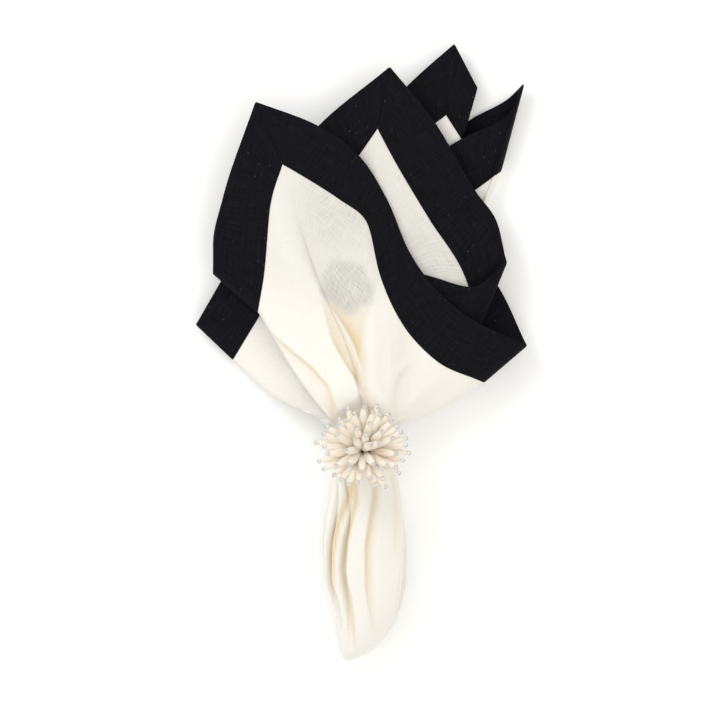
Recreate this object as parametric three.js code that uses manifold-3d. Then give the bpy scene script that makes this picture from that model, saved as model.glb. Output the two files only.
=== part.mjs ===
// A square linen napkin with a wide mitred black border, drawn by its centre through a ring.
// The gathered centre hangs below the ring as a soft tail and the four corners fan out above it.
// The whole lies on its back: +Y runs from the tail to the corners and +Z is up off the table.
// Millimetres. The origin is below the middle of the outline, on the table.

import * as THREE from 'three';
import { mergeVertices } from 'three/addons/utils/BufferGeometryUtils.js';
import Module from 'manifold-3d';

// Driving dimensions of the cloth
const CLOTH_SIDE = 533;
const BORDER_WIDTH = 31.5;
const LINEN_THICKNESS = 1.0;
const BORDER_THICKNESS = 1.0;
const SEAM_GAP = 0.6;
const MITRE_GAP = 0.35;
// From the middle of one layer of cloth to the middle of the next where they lie on each other
const LAYER_PITCH = 1.95;
const TABLE_TO_LOWEST_MIDDLE = 0.65;

// Driving dimensions of the ring and its flower
const RING_INNER_RADIUS = 18.5;
const RING_OUTER_RADIUS = 20.75;
const RING_AXIS_HEIGHT = 20.5;
const RING_WIDTH = 16;
const CLOTH_REACH_IN_RING = 17.5;
const PAD_RADIUS = 9.5;
const PAD_EDGE_HEIGHT = 2;
const PAD_DOME_HEIGHT = 5;
const PETAL_RADIUS = 1.85;
const PETAL_SIDES = 6;
const CRYSTAL_RADIUS = 1.4;

// The view from above that the outline was measured in, with its scale and the pixel above the origin
const PIXELS_PER_MM = 1.7;
const ORIGIN_PX = 361.5;
const ORIGIN_PY = 352.9;
const RING_PX = 362;
const RING_PY = 447.5;
const NECK_PY = 423;
const NECK_SPREAD = 1.25;
// Within this of a fold's edge its own two layers come together
const FOLD_REACH = 8;
// Half the turn of the tail that the rounded edge of a pleat takes up, in degrees
const FOLD_TURN_IN_TAIL = 3.5;
const SETTLING_PASSES = 3;

// Mesh fineness
const COLUMN_SPACING = 24;
const ROWS_NECK_TO_MIDDLE = 3;
const ROWS_MIDDLE_TO_SEAM = 4;

// Sides of the square, in order round the hem: from corner A to B, B to C, C to D and D to A
const SIDES = ['ab', 'bc', 'cd', 'da'];

// The hem, a row for each fold, corner or swell met on the way round it.
// side and along: where it is on the flat square, the side's number and mm along that side.
// bend: how far apart the two layers of a fold lie, 0 where the hem only passes.
// seam and edge: the border's inner and outer edge there, as pixels across, pixels down, mm above table.
const HEM_COLUMNS = ['name', 'side', 'along', 'bend', 'seam', 'edge'];
const HEM = [
  ['cornerA', 0, 0, 0, [282.5, 164.4, 33], [255.4, 101.5, 30]],
  ['frontLeft', 0, 58, 0, [270.5, 205, 31], [223, 197, 26]],
  ['frontLeftLow', 0, 92, 0, [264, 275, 25], [213, 245, 22]],
  ['foldFrontLeft', 0, 112, 7, [257.8, 312, 20.5], [213, 273, 20]],
  ['foldBehindRight', 0, 230, 3, [398, 316, 23], [398, 262, 22.5]],
  ['foldBehindLeft', 0, 280, 3, [318, 312, 17.5], [318, 258, 17]],
  ['veeLeft', 0, 342, 0, [425, 328, 22], [422, 274, 22]],
  ['veeMiddle', 0, 372, 0, [458, 338, 24.5], [472, 287, 26]],
  ['foldCurl', 0, 403, 7, [481, 324, 21.5], [506.5, 262, 22]],
  ['secondRightLow', 0, 425, 0, [462, 270, 20.5], [497, 222, 21]],
  ['secondRight', 0, 448, 0, [431, 222, 21], [474.9, 190.3, 20.5]],
  ['secondRightHigh', 0, 495, 0, [393, 158, 24], [434.2, 121.3, 22.5]],
  ['cornerB', 1, 0, 0, [377.5, 128.7, 25], [389.8, 66.5, 24]],
  ['secondLeft', 1, 62, 0, [350, 169, 20.5], [311, 134, 18]],
  ['secondLeftLow', 1, 125, 0, [296, 256, 14], [252, 228, 12.5]],
  ['foldLowLeft', 1, 190, 3, [233.2, 359.3, 8], [196.2, 324, 8]],
  ['foldUnderRight', 1, 262, 3, [320, 280, 6.8], [285, 240, 6.4]],
  ['foldUnderLeft', 1, 317, 3, [255, 340, 3.6], [222, 300, 3.4]],
  ['thirdLeft', 1, 412, 0, [371, 208, 8.5], [331, 174, 5.5]],
  ['thirdLeftHigh', 1, 475, 0, [410, 144, 11], [408.3, 84.8, 9]],
  ['cornerC', 2, 0, 0, [446, 115.1, 11.5], [454.4, 43.6, 10]],
  ['foldThirdRight', 2, 30, 3.2, [462, 140, 9.8], [477, 87, 9.4]],
  ['foldBackLeft', 2, 158, 3, [333, 262, 5.9], [303, 215, 5.8]],
  ['foldBackRight', 2, 254, 3, [455, 218, 4.9], [455, 165, 4.9]],
  ['foldLastLeft', 2, 354, 3, [338, 290, 2.8], [305, 245, 2.8]],
  ['lastMiddle', 2, 430, 0, [434, 211, 2.2], [406, 168, 2.0]],
  ['lastRight', 2, 497, 0, [497, 160, 2.5], [473.7, 117.6, 2]],
  ['cornerD', 3, 0, 9, [501, 171, 8.2], [523.7, 83.8, 9]],
  ['fourthRight', 3, 51, 0, [474.9, 190.3, 12.5], [462.1, 138.5, 13.5]],
  ['foldFourthLeft', 3, 136, 4, [369, 259, 13.5], [340, 215, 13.2]],
  ['insideRight', 3, 216, 0, [445, 301, 14.5], [470, 255, 14]],
  ['insideRightLow', 3, 241, 0, [456, 317, 14], [498.3, 286.5, 12.5]],
  ['foldFrontRight', 3, 279, 10, [483.5, 382.2, 20], [526.7, 345.2, 19]],
  ['frontRightLow', 3, 318, 0, [444, 366, 31], [478.1, 323, 30]],
  ['frontRight', 3, 350, 0, [405, 328, 34], [441.6, 295.2, 30]],
  ['frontRightWaist', 3, 390, 0, [380.4, 276.7, 36.5], [409.5, 252, 27]],
  ['frontRightRidge', 3, 428, 0, [366, 221, 37], [387.3, 200.2, 27]],
  ['frontRightHigh', 3, 462, 0, [338, 198.5, 35.5], [359, 155.8, 29]],
  ['frontTopRight', 3, 494, 0, [294, 171, 33.5], [317.5, 125.5, 29.5]],
];

// Where each fold passes the ring, in mm across from its axis and above the table.
// bend: how far apart its two layers lie there.
// tailTurn: the side of the tail that it runs down to, in degrees round from the right.
// tuck: 1 where it is pushed into the tail as a valley between two swells.
const RING_COLUMNS = ['name', 'across', 'height', 'bend', 'tailTurn', 'tuck'];
const IN_RING = [
  ['cornerA', 1, 36.2, 0, 80, 0],
  ['frontLeft', -2.5, 37.6, 0, 86, 0],
  ['frontLeftLow', -8, 36, 0, 92, 0],
  ['foldFrontLeft', -11.5, 34.4, 2.4, 98, 0],
  ['foldBehindRight', 10, 32.4, 2.2, 113, 1],
  ['foldBehindLeft', -14.4, 30.2, 2.2, 128, 0],
  ['foldCurl', 13, 28, 2.2, 143, 1],
  ['foldLowLeft', -17.4, 23.6, 6.6, 162, 0],
  ['foldUnderRight', 14.3, 19.3, 2.2, 184, 1],
  ['foldUnderLeft', -17.2, 17.1, 2.2, 200, 0],
  ['foldThirdRight', 13.7, 14.9, 2.2, 213, 1],
  ['foldBackLeft', -15.8, 12.7, 2.2, 226, 0],
  ['foldBackRight', 11.6, 10.5, 2.2, 239, 1],
  ['foldLastLeft', -12.5, 8.3, 2.2, 252, 0],
  ['lastMiddle', -2, 3.2, 0, 275, 0],
  ['lastRight', 8, 5.2, 0, 300, 0],
  ['cornerD', 17.4, 18.5, 6, 337, 0],
  ['foldFourthLeft', -14.2, 23.7, 2.2, 365, 1],
  ['foldFrontRight', 16.3, 27.4, 4.5, 382, 0],
  ['frontRightLow', 13.2, 32.1, 0, 394, 0],
  ['frontRight', 10.5, 34.6, 0, 404, 0],
  ['frontRightWaist', 7.5, 36.4, 0, 415, 0],
  ['frontRightRidge', 4, 37.6, 0, 426, 0],
  ['frontRightHigh', 2.5, 36.6, 0, 432, 0],
  ['frontTopRight', 1.7, 36.2, 0, 436, 0],
];

// The two folds that wrap round the others in the ring, with where their layers start and end there
const WRAPS_IN_RING = {
  cornerD: { before: [17.0, 14.5], after: [15.6, 22.6] },
  foldFrontRight: { before: [14.2, 24.9], after: [15.6, 29.3] },
};

// Where the folds that show pass the neck just above the ring, and half way from there to the border
const SHOWN_COLUMNS = ['name', 'neck', 'middle'];
const SHOWN = [
  ['cornerA', [360, 393, 38], [312, 262, 33]],
  ['frontLeft', [357.5, 399, 40], [316, 291, 37.5]],
  ['frontLeftLow', [345, 408, 38], [301, 345, 33]],
  ['foldFrontLeft', [331, 420, 33], [299, 379, 29]],
  ['foldLowLeft', [325, 424, 20], [273, 396, 11.5]],
  ['foldFrontRight', [405, 424, 27], [445, 407, 22]],
  ['frontRightLow', [398, 423, 29.5], [427, 399, 28]],
  ['frontRight', [392, 421, 33], [405, 385, 33]],
  ['frontRightWaist', [383, 416, 36.5], [384, 356, 36]],
  ['frontRightRidge', [368, 402, 38.5], [369, 318, 38]],
  ['frontRightHigh', [362.5, 395, 38], [349, 298, 32.5]],
  ['frontTopRight', [361, 394, 37.8], [331, 279, 32.5]],
];

// The tail, a row for each section down to its rounded end.
// down, left and right in pixels; low and high in mm above the table.
// layered: 1 where the cloth still lies in the layers that it has in the ring, 0 where it is a pleated tube.
// pleat: how deep the tucks go, as a share of the way to its middle.
const TAIL_COLUMNS = ['down', 'left', 'right', 'low', 'high', 'layered', 'pleat'];
const TAIL = [
  [477, 331.5, 397, 1.6, 37, 0.92, 0.66],
  [496, 329.5, 401, 1.0, 35, 0.76, 0.62],
  [519, 325, 403.5, 0.65, 33, 0.54, 0.58],
  [547, 323, 405.4, 0.65, 31.5, 0.32, 0.52],
  [577, 325, 405, 0.65, 30.5, 0.14, 0.43],
  [602, 331.8, 400.5, 0.65, 29, 0.04, 0.32],
  [627, 335.5, 391, 0.65, 26.5, 0, 0.18],
  [645, 338.7, 377.5, 1.6, 22.5, 0, 0.05],
  [656, 342.4, 361, 4.5, 17.5, 0, 0],
  [661, 348.5, 348.5, 10, 10, 0, 0],
];

// The hollows that run down the front of the tail: where each starts, bends and ends, and its size in mm
const HOLLOWS = [
  { depth: 2.8, width: 3.2, down: [470, 497, 524, 556, 600], across: [351, 350.5, 340.5, 332, 336] },
  { depth: 2.4, width: 2.6, down: [470, 500, 540, 568, 624], across: [356, 358, 348, 344, 356] },
  { depth: 3.0, width: 3.2, down: [470, 500, 545, 590, 640], across: [376, 373, 366.5, 367.2, 384] },
  { depth: 2.2, width: 3.0, down: [462, 480, 500, 530, 560], across: [391, 392, 394, 395, 396] },
];

// The cloth's layers above the ring, from the table up, each with the two folds that it runs between
const LAYERS_UP = [
  ['foldLastLeft', 'cornerD'],
  ['foldBackRight', 'foldLastLeft'],
  ['foldBackLeft', 'foldBackRight'],
  ['foldThirdRight', 'foldBackLeft'],
  ['foldUnderLeft', 'foldThirdRight'],
  ['foldUnderRight', 'foldUnderLeft'],
  ['foldLowLeft', 'foldUnderRight'],
  ['cornerD', 'foldFourthLeft'],
  ['foldFourthLeft', 'foldFrontRight'],
  ['foldCurl', 'foldLowLeft'],
  ['foldBehindLeft', 'foldCurl'],
  ['foldBehindRight', 'foldBehindLeft'],
  ['foldFrontLeft', 'foldBehindRight'],
  ['foldFrontRight', 'foldFrontLeft'],
];

// Petals of the flower, a row for each tier from the outermost up to the middle
const PETAL_TIERS = [
  { count: 17, rise: 4, reach: 28.6, turn: 3 },
  { count: 15, rise: 19, reach: 28.0, turn: 14 },
  { count: 12, rise: 38, reach: 26.5, turn: 5 },
  { count: 8, rise: 58, reach: 25.0, turn: 22 },
  { count: 4, rise: 77, reach: 24.0, turn: 40 },
];

const LINEN_WHITE = new THREE.MeshStandardMaterial({ color: 0xfbf7ec, roughness: 0.85, metalness: 0 });
const LINEN_BLACK = new THREE.MeshStandardMaterial({ color: 0x141417, roughness: 0.8, metalness: 0 });
const SILVER_METAL = new THREE.MeshStandardMaterial({ color: 0xcfcdc8, roughness: 0.3, metalness: 1 });
const IVORY_BEAD = new THREE.MeshStandardMaterial({ color: 0xf0e4d2, roughness: 0.45, metalness: 0 });

// Rows as objects, and points of the view as points of the part
const named = (columns, rows) => rows.map((row) => Object.fromEntries(columns.map((c, i) => [c, row[i]])));
const across = (px) => (px - ORIGIN_PX) / PIXELS_PER_MM;
const up = (py) => (ORIGIN_PY - py) / PIXELS_PER_MM;
const place = ([px, py, height]) => [across(px), up(py), height];
const mix = (a, b, share) => a.map((value, i) => value + (b[i] - value) * share);
const RING_X = across(RING_PX);
const RING_Y = up(RING_PY);
const HEM_LENGTH = 4 * CLOTH_SIDE;

// A smooth curve through given values that never swings past them. Each value is a point of any size.
function slopesOf(at, values) {
  const step = at.slice(1).map((a, i) => a - at[i]);
  const rise = step.map((s, i) => values[i + 1].map((v, k) => (v - values[i][k]) / s));
  return values.map((value, i) => {
    if (i === 0) return rise[0];
    if (i === values.length - 1) return rise[i - 1];
    const before = 2 * step[i] + step[i - 1];
    const after = step[i] + 2 * step[i - 1];
    return value.map((_, k) => {
      const a = rise[i - 1][k];
      const b = rise[i][k];
      return a * b > 0 ? (before + after) / (before / a + after / b) : 0;
    });
  });
}

function along(at, values, leaving, arriving, where) {
  let i = 0;
  while (i < at.length - 2 && where >= at[i + 1]) i += 1;
  const span = at[i + 1] - at[i];
  const t = (where - at[i]) / span;
  const [a, b] = [2 * t ** 3 - 3 * t ** 2 + 1, t ** 3 - 2 * t ** 2 + t];
  const [c, d] = [3 * t ** 2 - 2 * t ** 3, t ** 3 - t ** 2];
  return values[i].map((v, k) =>
    a * v + b * span * leaving[i][k] + c * values[i + 1][k] + d * span * arriving[i + 1][k]);
}

function smooth(at, values, where) {
  const slopes = slopesOf(at, values);
  return along(at, values, slopes, slopes, where);
}

function straight(at, values, where) {
  let i = 0;
  while (i < at.length - 2 && where >= at[i + 1]) i += 1;
  return values[i] + ((values[i + 1] - values[i]) * (where - at[i])) / (at[i + 1] - at[i]);
}

// The ribs: lines that run from the middle of the cloth, through the ring, out to the hem.
// A fold has three of them, one on its edge and one on each of its two layers.
function makeRibs() {
  const rings = named(RING_COLUMNS, IN_RING);
  const shown = named(SHOWN_COLUMNS, SHOWN);
  const main = named(HEM_COLUMNS, HEM).map((row) => ({ ...row, at: row.side * CLOTH_SIDE + row.along }));
  for (const rib of main) {
    const own = rings.find((ring) => ring.name === rib.name);
    rib.passesRing = Boolean(own);
    rib.ring = own && [own.across, own.height];
    rib.ringBend = own ? own.bend : 0;
    rib.tailTurn = own && own.tailTurn;
    rib.tuck = own ? own.tuck : 0;
    rib.corner = rib.name.startsWith('corner');
  }
  fillRing(main);
  for (const rib of main) {
    const seen = shown.find((row) => row.name === rib.name);
    const neckByRing = [RING_X + rib.ring[0] * NECK_SPREAD, up(NECK_PY), rib.ring[1]];
    rib.points = { neck: seen ? place(seen.neck) : neckByRing, seam: place(rib.seam), edge: place(rib.edge) };
    rib.points.middle = seen ? place(seen.middle) : mix(rib.points.neck, rib.points.seam, 0.5);
  }
  const ribs = main.flatMap((rib, i) => {
    if (rib.bend === 0) return [rib];
    const before = main[(i + main.length - 1) % main.length];
    const after = main[(i + 1) % main.length];
    const above = Math.sign(before.ring[1] - after.ring[1]);
    const edge = { ...rib, edgeOfFold: true };
    return [layerBeside(rib, before, above, -1), edge, layerBeside(rib, after, -above, 1)];
  });
  fillRing(ribs);
  for (const rib of ribs) {
    const [x, height] = [rib.ring[0], rib.ring[1] - RING_AXIS_HEIGHT];
    const fit = Math.min(1, CLOTH_REACH_IN_RING / Math.hypot(x, height));
    rib.ring = [x * fit, RING_AXIS_HEIGHT + height * fit];
    const seen = shown.some((row) => row.name === rib.name);
    if (rib.passesRing || seen) continue;
    rib.points.neck = [RING_X + rib.ring[0] * NECK_SPREAD, up(NECK_PY), rib.ring[1]];
    rib.points.middle = mix(rib.points.neck, rib.points.seam, 0.5);
  }
  return ribs;
}

// Ribs with no place of their own in the ring pass it evenly between those that have one
function fillRing(ribs) {
  const known = ribs.filter((rib) => rib.passesRing);
  const at = [...known.map((rib) => rib.at), known[0].at + HEM_LENGTH];
  const round = [...known, { ...known[0], tailTurn: known[0].tailTurn + 360 }];
  for (const rib of ribs.filter((r) => !r.passesRing)) {
    rib.ring = [0, 1].map((k) => straight(at, round.map((r) => r.ring[k]), rib.at));
    rib.tailTurn = straight(at, round.map((r) => r.tailTurn), rib.at);
    rib.tuck = straight(at, round.map((r) => r.tuck), rib.at);
  }
}

// One layer of a fold, half the fold's bend in from its edge and half of it above or below
function layerBeside(rib, neighbour, above, way) {
  const wraps = WRAPS_IN_RING[rib.name];
  const shift = (from, to, bend) => {
    const toward = [to[0] - from[0], to[1] - from[1]];
    const far = Math.hypot(...toward) || 1;
    return [(toward[0] / far) * bend / 2, (toward[1] / far) * bend / 2, (above * bend) / 2];
  };
  const bends = { neck: rib.ringBend * 1.1, middle: (rib.ringBend * 1.1 + rib.bend) / 2 };
  const points = Object.fromEntries(Object.keys(rib.points).map((key) => {
    const offset = shift(rib.points[key], neighbour.points[key], bends[key] ?? rib.bend);
    return [key, rib.points[key].map((v, k) => v + offset[k])];
  }));
  const side = Math.sign(neighbour.ring[0] - rib.ring[0]);
  const ring = wraps ? wraps[way < 0 ? 'before' : 'after']
    : [rib.ring[0] + (side * rib.ringBend) / 2, rib.ring[1] + (above * rib.ringBend) / 2];
  return {
    ...rib,
    at: rib.at + way * 0.8 * rib.bend,
    ring,
    points,
    tailTurn: rib.tailTurn + way * FOLD_TURN_IN_TAIL,
    tuck: rib.tuck * 0.94,
    corner: false,
  };
}

// A rib's points from the tip of the tail to the border's seam
function ribRows(rib) {
  const reach = rib.ring.map((v, k) => (v - (k ? RING_AXIS_HEIGHT : 0)) / CLOTH_REACH_IN_RING);
  const turn = (rib.tailTurn * Math.PI) / 180;
  const tail = named(TAIL_COLUMNS, TAIL).reverse().map((row) => {
    const depth = 1 - row.pleat * rib.tuck;
    const [x, z] = mix([Math.cos(turn) * depth, Math.sin(turn) * depth], reach, row.layered);
    const middle = [(row.left + row.right) / 2, (row.low + row.high) / 2];
    return [
      across(middle[0] + (x * (row.right - row.left)) / 2),
      up(row.down),
      middle[1] + (z * (row.high - row.low)) / 2,
    ];
  });
  const inRing = [-0.55, 0, 0.55].map((share) => [RING_X + rib.ring[0], RING_Y + share * RING_WIDTH, rib.ring[1]]);
  const stops = [...inRing, rib.points.neck, rib.points.middle, rib.points.seam];
  const reached = [0];
  stops.slice(1).forEach((stop, i) => reached.push(reached[i] + new THREE.Vector3(...stop)
    .distanceTo(new THREE.Vector3(...stops[i])) + 1e-6));
  const spans = [1, 1, 1, ROWS_NECK_TO_MIDDLE, ROWS_MIDDLE_TO_SEAM];
  const upper = spans.flatMap((count, i) => Array.from({ length: count }, (_, j) =>
    smooth(reached, stops, reached[i] + ((reached[i + 1] - reached[i]) * j) / count)));
  return [...tail, ...upper, stops.at(-1)];
}

// Places round the hem where the mesh has a column: at every rib, and evenly between them
function columnPlaces(ribs) {
  return ribs.flatMap((rib, i) => {
    const next = i + 1 < ribs.length ? ribs[i + 1].at : ribs[0].at + HEM_LENGTH;
    const count = Math.max(1, Math.round((next - rib.at) / COLUMN_SPACING));
    return Array.from({ length: count }, (_, j) => rib.at + ((next - rib.at) * j) / count);
  });
}

// A row of the cloth right round the hem, through one point of each rib.
// crisp: 1 where the four corners are sharp, 0 where the row runs smoothly past them.
function rowAround(ribs, points, crisp, places) {
  const lap = (list, add) => [...add(list.slice(-3), -1), ...list, ...add(list.slice(0, 3), 1)];
  const at = lap(ribs.map((rib) => rib.at), (part, way) => part.map((a) => a + way * HEM_LENGTH));
  const values = lap(points, (part) => part);
  const corners = lap(ribs.map((rib) => rib.corner), (part) => part);
  const slopes = slopesOf(at, values);
  const chord = at.slice(1).map((a, i) => values[i + 1].map((v, k) => (v - values[i][k]) / (a - at[i])));
  const leaving = slopes.map((s, i) => (corners[i] && chord[i] ? mix(s, chord[i], crisp) : s));
  const arriving = slopes.map((s, i) => (corners[i] && i > 0 ? mix(s, chord[i - 1], crisp) : s));
  return places.map((where) => along(at, values, leaving, arriving, where));
}

// The hollows down the front of the tail, deepest at its top face and gone at half its height
function pressHollows([x, y, z]) {
  const down = ORIGIN_PY - y * PIXELS_PER_MM;
  const sections = named(TAIL_COLUMNS, TAIL);
  if (down < sections[0].down) return [x, y, z];
  const [low, high] = smooth(sections.map((s) => s.down), sections.map((s) => [s.low, s.high]), down);
  const front = Math.max(0, (z - (low + high) / 2) / Math.max(1, (high - low) / 2));
  let drop = 0;
  for (const hollow of HOLLOWS) {
    const first = hollow.down[0];
    const last = hollow.down.at(-1);
    if (down > last) continue;
    const centre = across(straight(hollow.down, hollow.across, Math.max(down, first)));
    const fade = Math.sin(Math.PI * Math.min(1, 0.3 + (0.7 * (down - first)) / (last - first))) ** 0.5;
    drop += hollow.depth * fade * Math.exp(-(((x - centre) / hollow.width) ** 2));
  }
  return [x, y, z - drop * front];
}

// The way that a closed grid's surface faces at each of its points
function facingOf(grid) {
  const columns = grid.length;
  const rows = grid[0].length;
  const at = (i, j) => new THREE.Vector3(...grid[(i + columns) % columns][Math.min(rows - 1, Math.max(0, j))]);
  return grid.map((_, i) => grid[0].map((__, j) => {
    if (j === 0) return new THREE.Vector3(0, -1, 0);
    const acrossRows = at(i, j + 1).sub(at(i, j - 1));
    const acrossColumns = at(i + 1, j).sub(at(i - 1, j));
    return new THREE.Vector3().crossVectors(acrossRows, acrossColumns).normalize();
  }));
}

// A thin solid on a grid of points, columns by rows, offset half the thickness to each side.
// closed: the last column meets the first. capped: the first row is one point.
function sheetSolid(grid, facing, thickness, { closed = false, capped = false } = {}) {
  const columns = grid.length;
  const rows = grid[0].length;
  const column = (i) => (closed ? (i + columns) % columns : i);
  const at = (i, j) => new THREE.Vector3(...grid[i][j]);
  const normal = (i, j) => facing[i][j];
  const positions = [];
  const faces = [];
  const vertex = [1, -1].map((way) => {
    const pole = positions.length / 3;
    if (capped) positions.push(...at(0, 0).addScaledVector(normal(0, 0), (way * thickness) / 2));
    return grid.map((_, i) => grid[0].map((_, j) => {
      if (capped && j === 0) return pole;
      positions.push(...at(i, j).addScaledVector(normal(i, j), (way * thickness) / 2));
      return positions.length / 3 - 1;
    }));
  });
  const quad = (a, b, c, d) => {
    if (a !== b && b !== c && a !== c) faces.push(a, b, c);
    if (a !== d && c !== d && a !== c) faces.push(a, c, d);
  };
  const lastColumn = closed ? columns : columns - 1;
  for (let i = 0; i < lastColumn; i += 1) {
    const next = column(i + 1);
    for (let j = 0; j + 1 < rows; j += 1) {
      const [front, back] = vertex;
      quad(front[i][j], front[i][j + 1], front[next][j + 1], front[next][j]);
      quad(back[i][j], back[next][j], back[next][j + 1], back[i][j + 1]);
    }
    quad(vertex[0][i][rows - 1], vertex[1][i][rows - 1], vertex[1][next][rows - 1], vertex[0][next][rows - 1]);
    if (!capped) quad(vertex[1][i][0], vertex[0][i][0], vertex[0][next][0], vertex[1][next][0]);
  }
  if (!closed) {
    for (let j = 0; j + 1 < rows; j += 1) {
      quad(vertex[0][0][j], vertex[1][0][j], vertex[1][0][j + 1], vertex[0][0][j + 1]);
      const end = columns - 1;
      quad(vertex[1][end][j], vertex[0][end][j], vertex[0][end][j + 1], vertex[1][end][j + 1]);
    }
  }
  const geometry = new THREE.BufferGeometry();
  geometry.setAttribute('position', new THREE.Float32BufferAttribute(positions, 3));
  geometry.setIndex(faces);
  return geometry;
}

// The whole cloth as one grid of points, columns by rows, from the tip of the tail to the hem.
// Its last two rows are the border's seam and its outer edge.
function clothGrid(ribs, places) {
  const rows = ribs.map((rib) => [...ribRows(rib), rib.points.edge]);
  const rowCount = rows[0].length;
  const seamRow = rowCount - 2;
  const grid = places.map(() => []);
  for (let j = 0; j < rowCount; j += 1) {
    const crisp = Math.min(1, Math.max(0, 1 - (seamRow - j) / ROWS_MIDDLE_TO_SEAM)) ** 1.5;
    const row = rowAround(ribs, rows.map((rib) => rib[j]), crisp, places);
    row.forEach((point, i) => grid[i].push(pressHollows(point)));
  }
  for (let pass = 0; pass < SETTLING_PASSES; pass += 1) settleLayers(grid, ribs, places);
  return grid;
}

// Layers that lie on each other: each is raised, where it has to be, until it clears those below it.
// It works on a plan of square cells, in which each layer has one height a cell.
function settleLayers(grid, ribs, places) {
  const foldAt = (name) => ribs.find((rib) => rib.name === name && rib.edgeOfFold).at;
  const [cell, cellsAcross, cellsUp] = [4, 56, 54];
  const lowX = across(190);
  const lowY = up(440);
  const cellOf = (x, y) => [(x - lowX) / cell, (y - lowY) / cell];
  const blank = (value) => new Float64Array(cellsAcross * cellsUp).fill(value);
  const firstRow = TAIL.length + 3;
  const lastRow = grid[0].length - 1;
  const lift = grid.map((column) => column.map(() => []));
  const tops = [];
  LAYERS_UP.forEach((folds) => {
    const [start, end] = folds.map(foldAt);
    const span = (end - start + HEM_LENGTH) % HEM_LENGTH;
    const own = places.map((at, i) => ({ i, from: (at - start + HEM_LENGTH) % HEM_LENGTH }))
      .filter(({ from }) => from <= span + 0.01).sort((a, b) => a.from - b.from).map(({ i }) => i);
    const samples = (visit, raised) => {
      for (let c = 0; c + 1 < own.length; c += 1) {
        for (let j = firstRow; j < lastRow; j += 1) {
          const corners = [[c, j], [c + 1, j], [c, j + 1], [c + 1, j + 1]].map(([k, row]) => {
            const [x, y, z] = grid[own[k]][row];
            return [x, y, z + (raised ? raised[k][row] : 0)];
          });
          const wide = Math.hypot(corners[1][0] - corners[0][0], corners[1][1] - corners[0][1]);
          const wider = Math.hypot(corners[3][0] - corners[2][0], corners[3][1] - corners[2][1]);
          const tall = Math.hypot(corners[2][0] - corners[0][0], corners[2][1] - corners[0][1]);
          const across4 = Math.max(1, Math.ceil(Math.max(wide, wider) / (cell * 0.6)));
          const up4 = Math.max(1, Math.ceil(tall / (cell * 0.6)));
          for (let a = 0; a <= across4; a += 1) {
            for (let b = 0; b <= up4; b += 1) {
              const low = mix(corners[0], corners[1], a / across4);
              const high = mix(corners[2], corners[3], a / across4);
              visit(mix(low, high, b / up4));
            }
          }
        }
      }
    };
    const floor = blank(0);
    for (const below of tops) {
      const shared = below.folds.find((name) => folds.includes(name));
      const line = shared && grid[places.findIndex((at) => Math.abs(at - foldAt(shared)) < 0.01)].slice(firstRow);
      for (let k = 0; k < floor.length; k += 1) {
        const x = lowX + cell * ((k % cellsAcross) + 0.5);
        const y = lowY + cell * (Math.floor(k / cellsAcross) + 0.5);
        if (line && nearLine(line, x, y) < FOLD_REACH) continue;
        floor[k] = Math.max(floor[k], below.top[k] + LAYER_PITCH);
      }
    }
    const need = blank(0);
    samples(([x, y, z]) => {
      const [u, v] = cellOf(x, y).map(Math.floor);
      const k = v * cellsAcross + u;
      need[k] = Math.max(need[k], Math.max(floor[k], TABLE_TO_LOWEST_MIDDLE) - z);
    });
    const eased = spread(need, cellsAcross, cellsUp);
    const raised = own.map((i) => grid[i].map(([x, y], j) => {
      if (j < firstRow) return 0;
      const [u, v] = cellOf(x, y);
      const rise = readPlan(eased, cellsAcross, cellsUp, u - 0.5, v - 0.5);
      return j === firstRow ? rise / 2 : rise;
    }));
    const top = blank(-100);
    samples(([x, y, z]) => {
      const [u, v] = cellOf(x, y).map(Math.floor);
      const k = v * cellsAcross + u;
      top[k] = Math.max(top[k], z);
    }, raised);
    tops.push({ folds, top });
    own.forEach((i, c) => raised[c].forEach((rise, j) => lift[i][j].push(rise)));
  });
  grid.forEach((column, i) => column.forEach((point, j) => {
    const rises = lift[i][j];
    if (rises.length) point[2] += rises.reduce((sum, rise) => sum + rise, 0) / rises.length;
  }));
}

// How far a point of the plan is from a line of points
function nearLine(line, x, y) {
  let best = Infinity;
  for (let i = 0; i + 1 < line.length; i += 1) {
    const [ax, ay] = line[i];
    const [bx, by] = [line[i + 1][0] - ax, line[i + 1][1] - ay];
    const t = Math.min(1, Math.max(0, ((x - ax) * bx + (y - ay) * by) / (bx * bx + by * by + 1e-9)));
    best = Math.min(best, Math.hypot(x - ax - t * bx, y - ay - t * by));
  }
  return best;
}

// A plan's values widened by a cell and then evened out, never below what they were
function spread(values, wide, high) {
  const around = (list, combine) => list.map((_, k) => {
    const [u, v] = [k % wide, Math.floor(k / wide)];
    const near = [];
    for (let a = Math.max(0, u - 1); a <= Math.min(wide - 1, u + 1); a += 1) {
      for (let b = Math.max(0, v - 1); b <= Math.min(high - 1, v + 1); b += 1) near.push(list[b * wide + a]);
    }
    return combine(near);
  });
  const widest = around(values, (near) => Math.max(...near));
  return around(widest, (near) => near.reduce((sum, v) => sum + v, 0) / near.length);
}

// A plan's value between the middles of its cells
function readPlan(values, wide, high, u, v) {
  const a = Math.min(wide - 2, Math.max(0, Math.floor(u)));
  const b = Math.min(high - 2, Math.max(0, Math.floor(v)));
  const [s, t] = [Math.min(1, Math.max(0, u - a)), Math.min(1, Math.max(0, v - b))];
  const row = (k) => values[k * wide + a] * (1 - s) + values[k * wide + a + 1] * s;
  return row(b) * (1 - t) + row(b + 1) * t;
}

// The white linen ground, from the tip of the tail to the seam with the border
function linenGround(grid, facing) {
  const [points, ways] = [grid, facing].map((all) => all.map((column) => column.slice(0, -1)));
  return sheetSolid(points, ways, LINEN_THICKNESS, { closed: true, capped: true });
}

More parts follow.
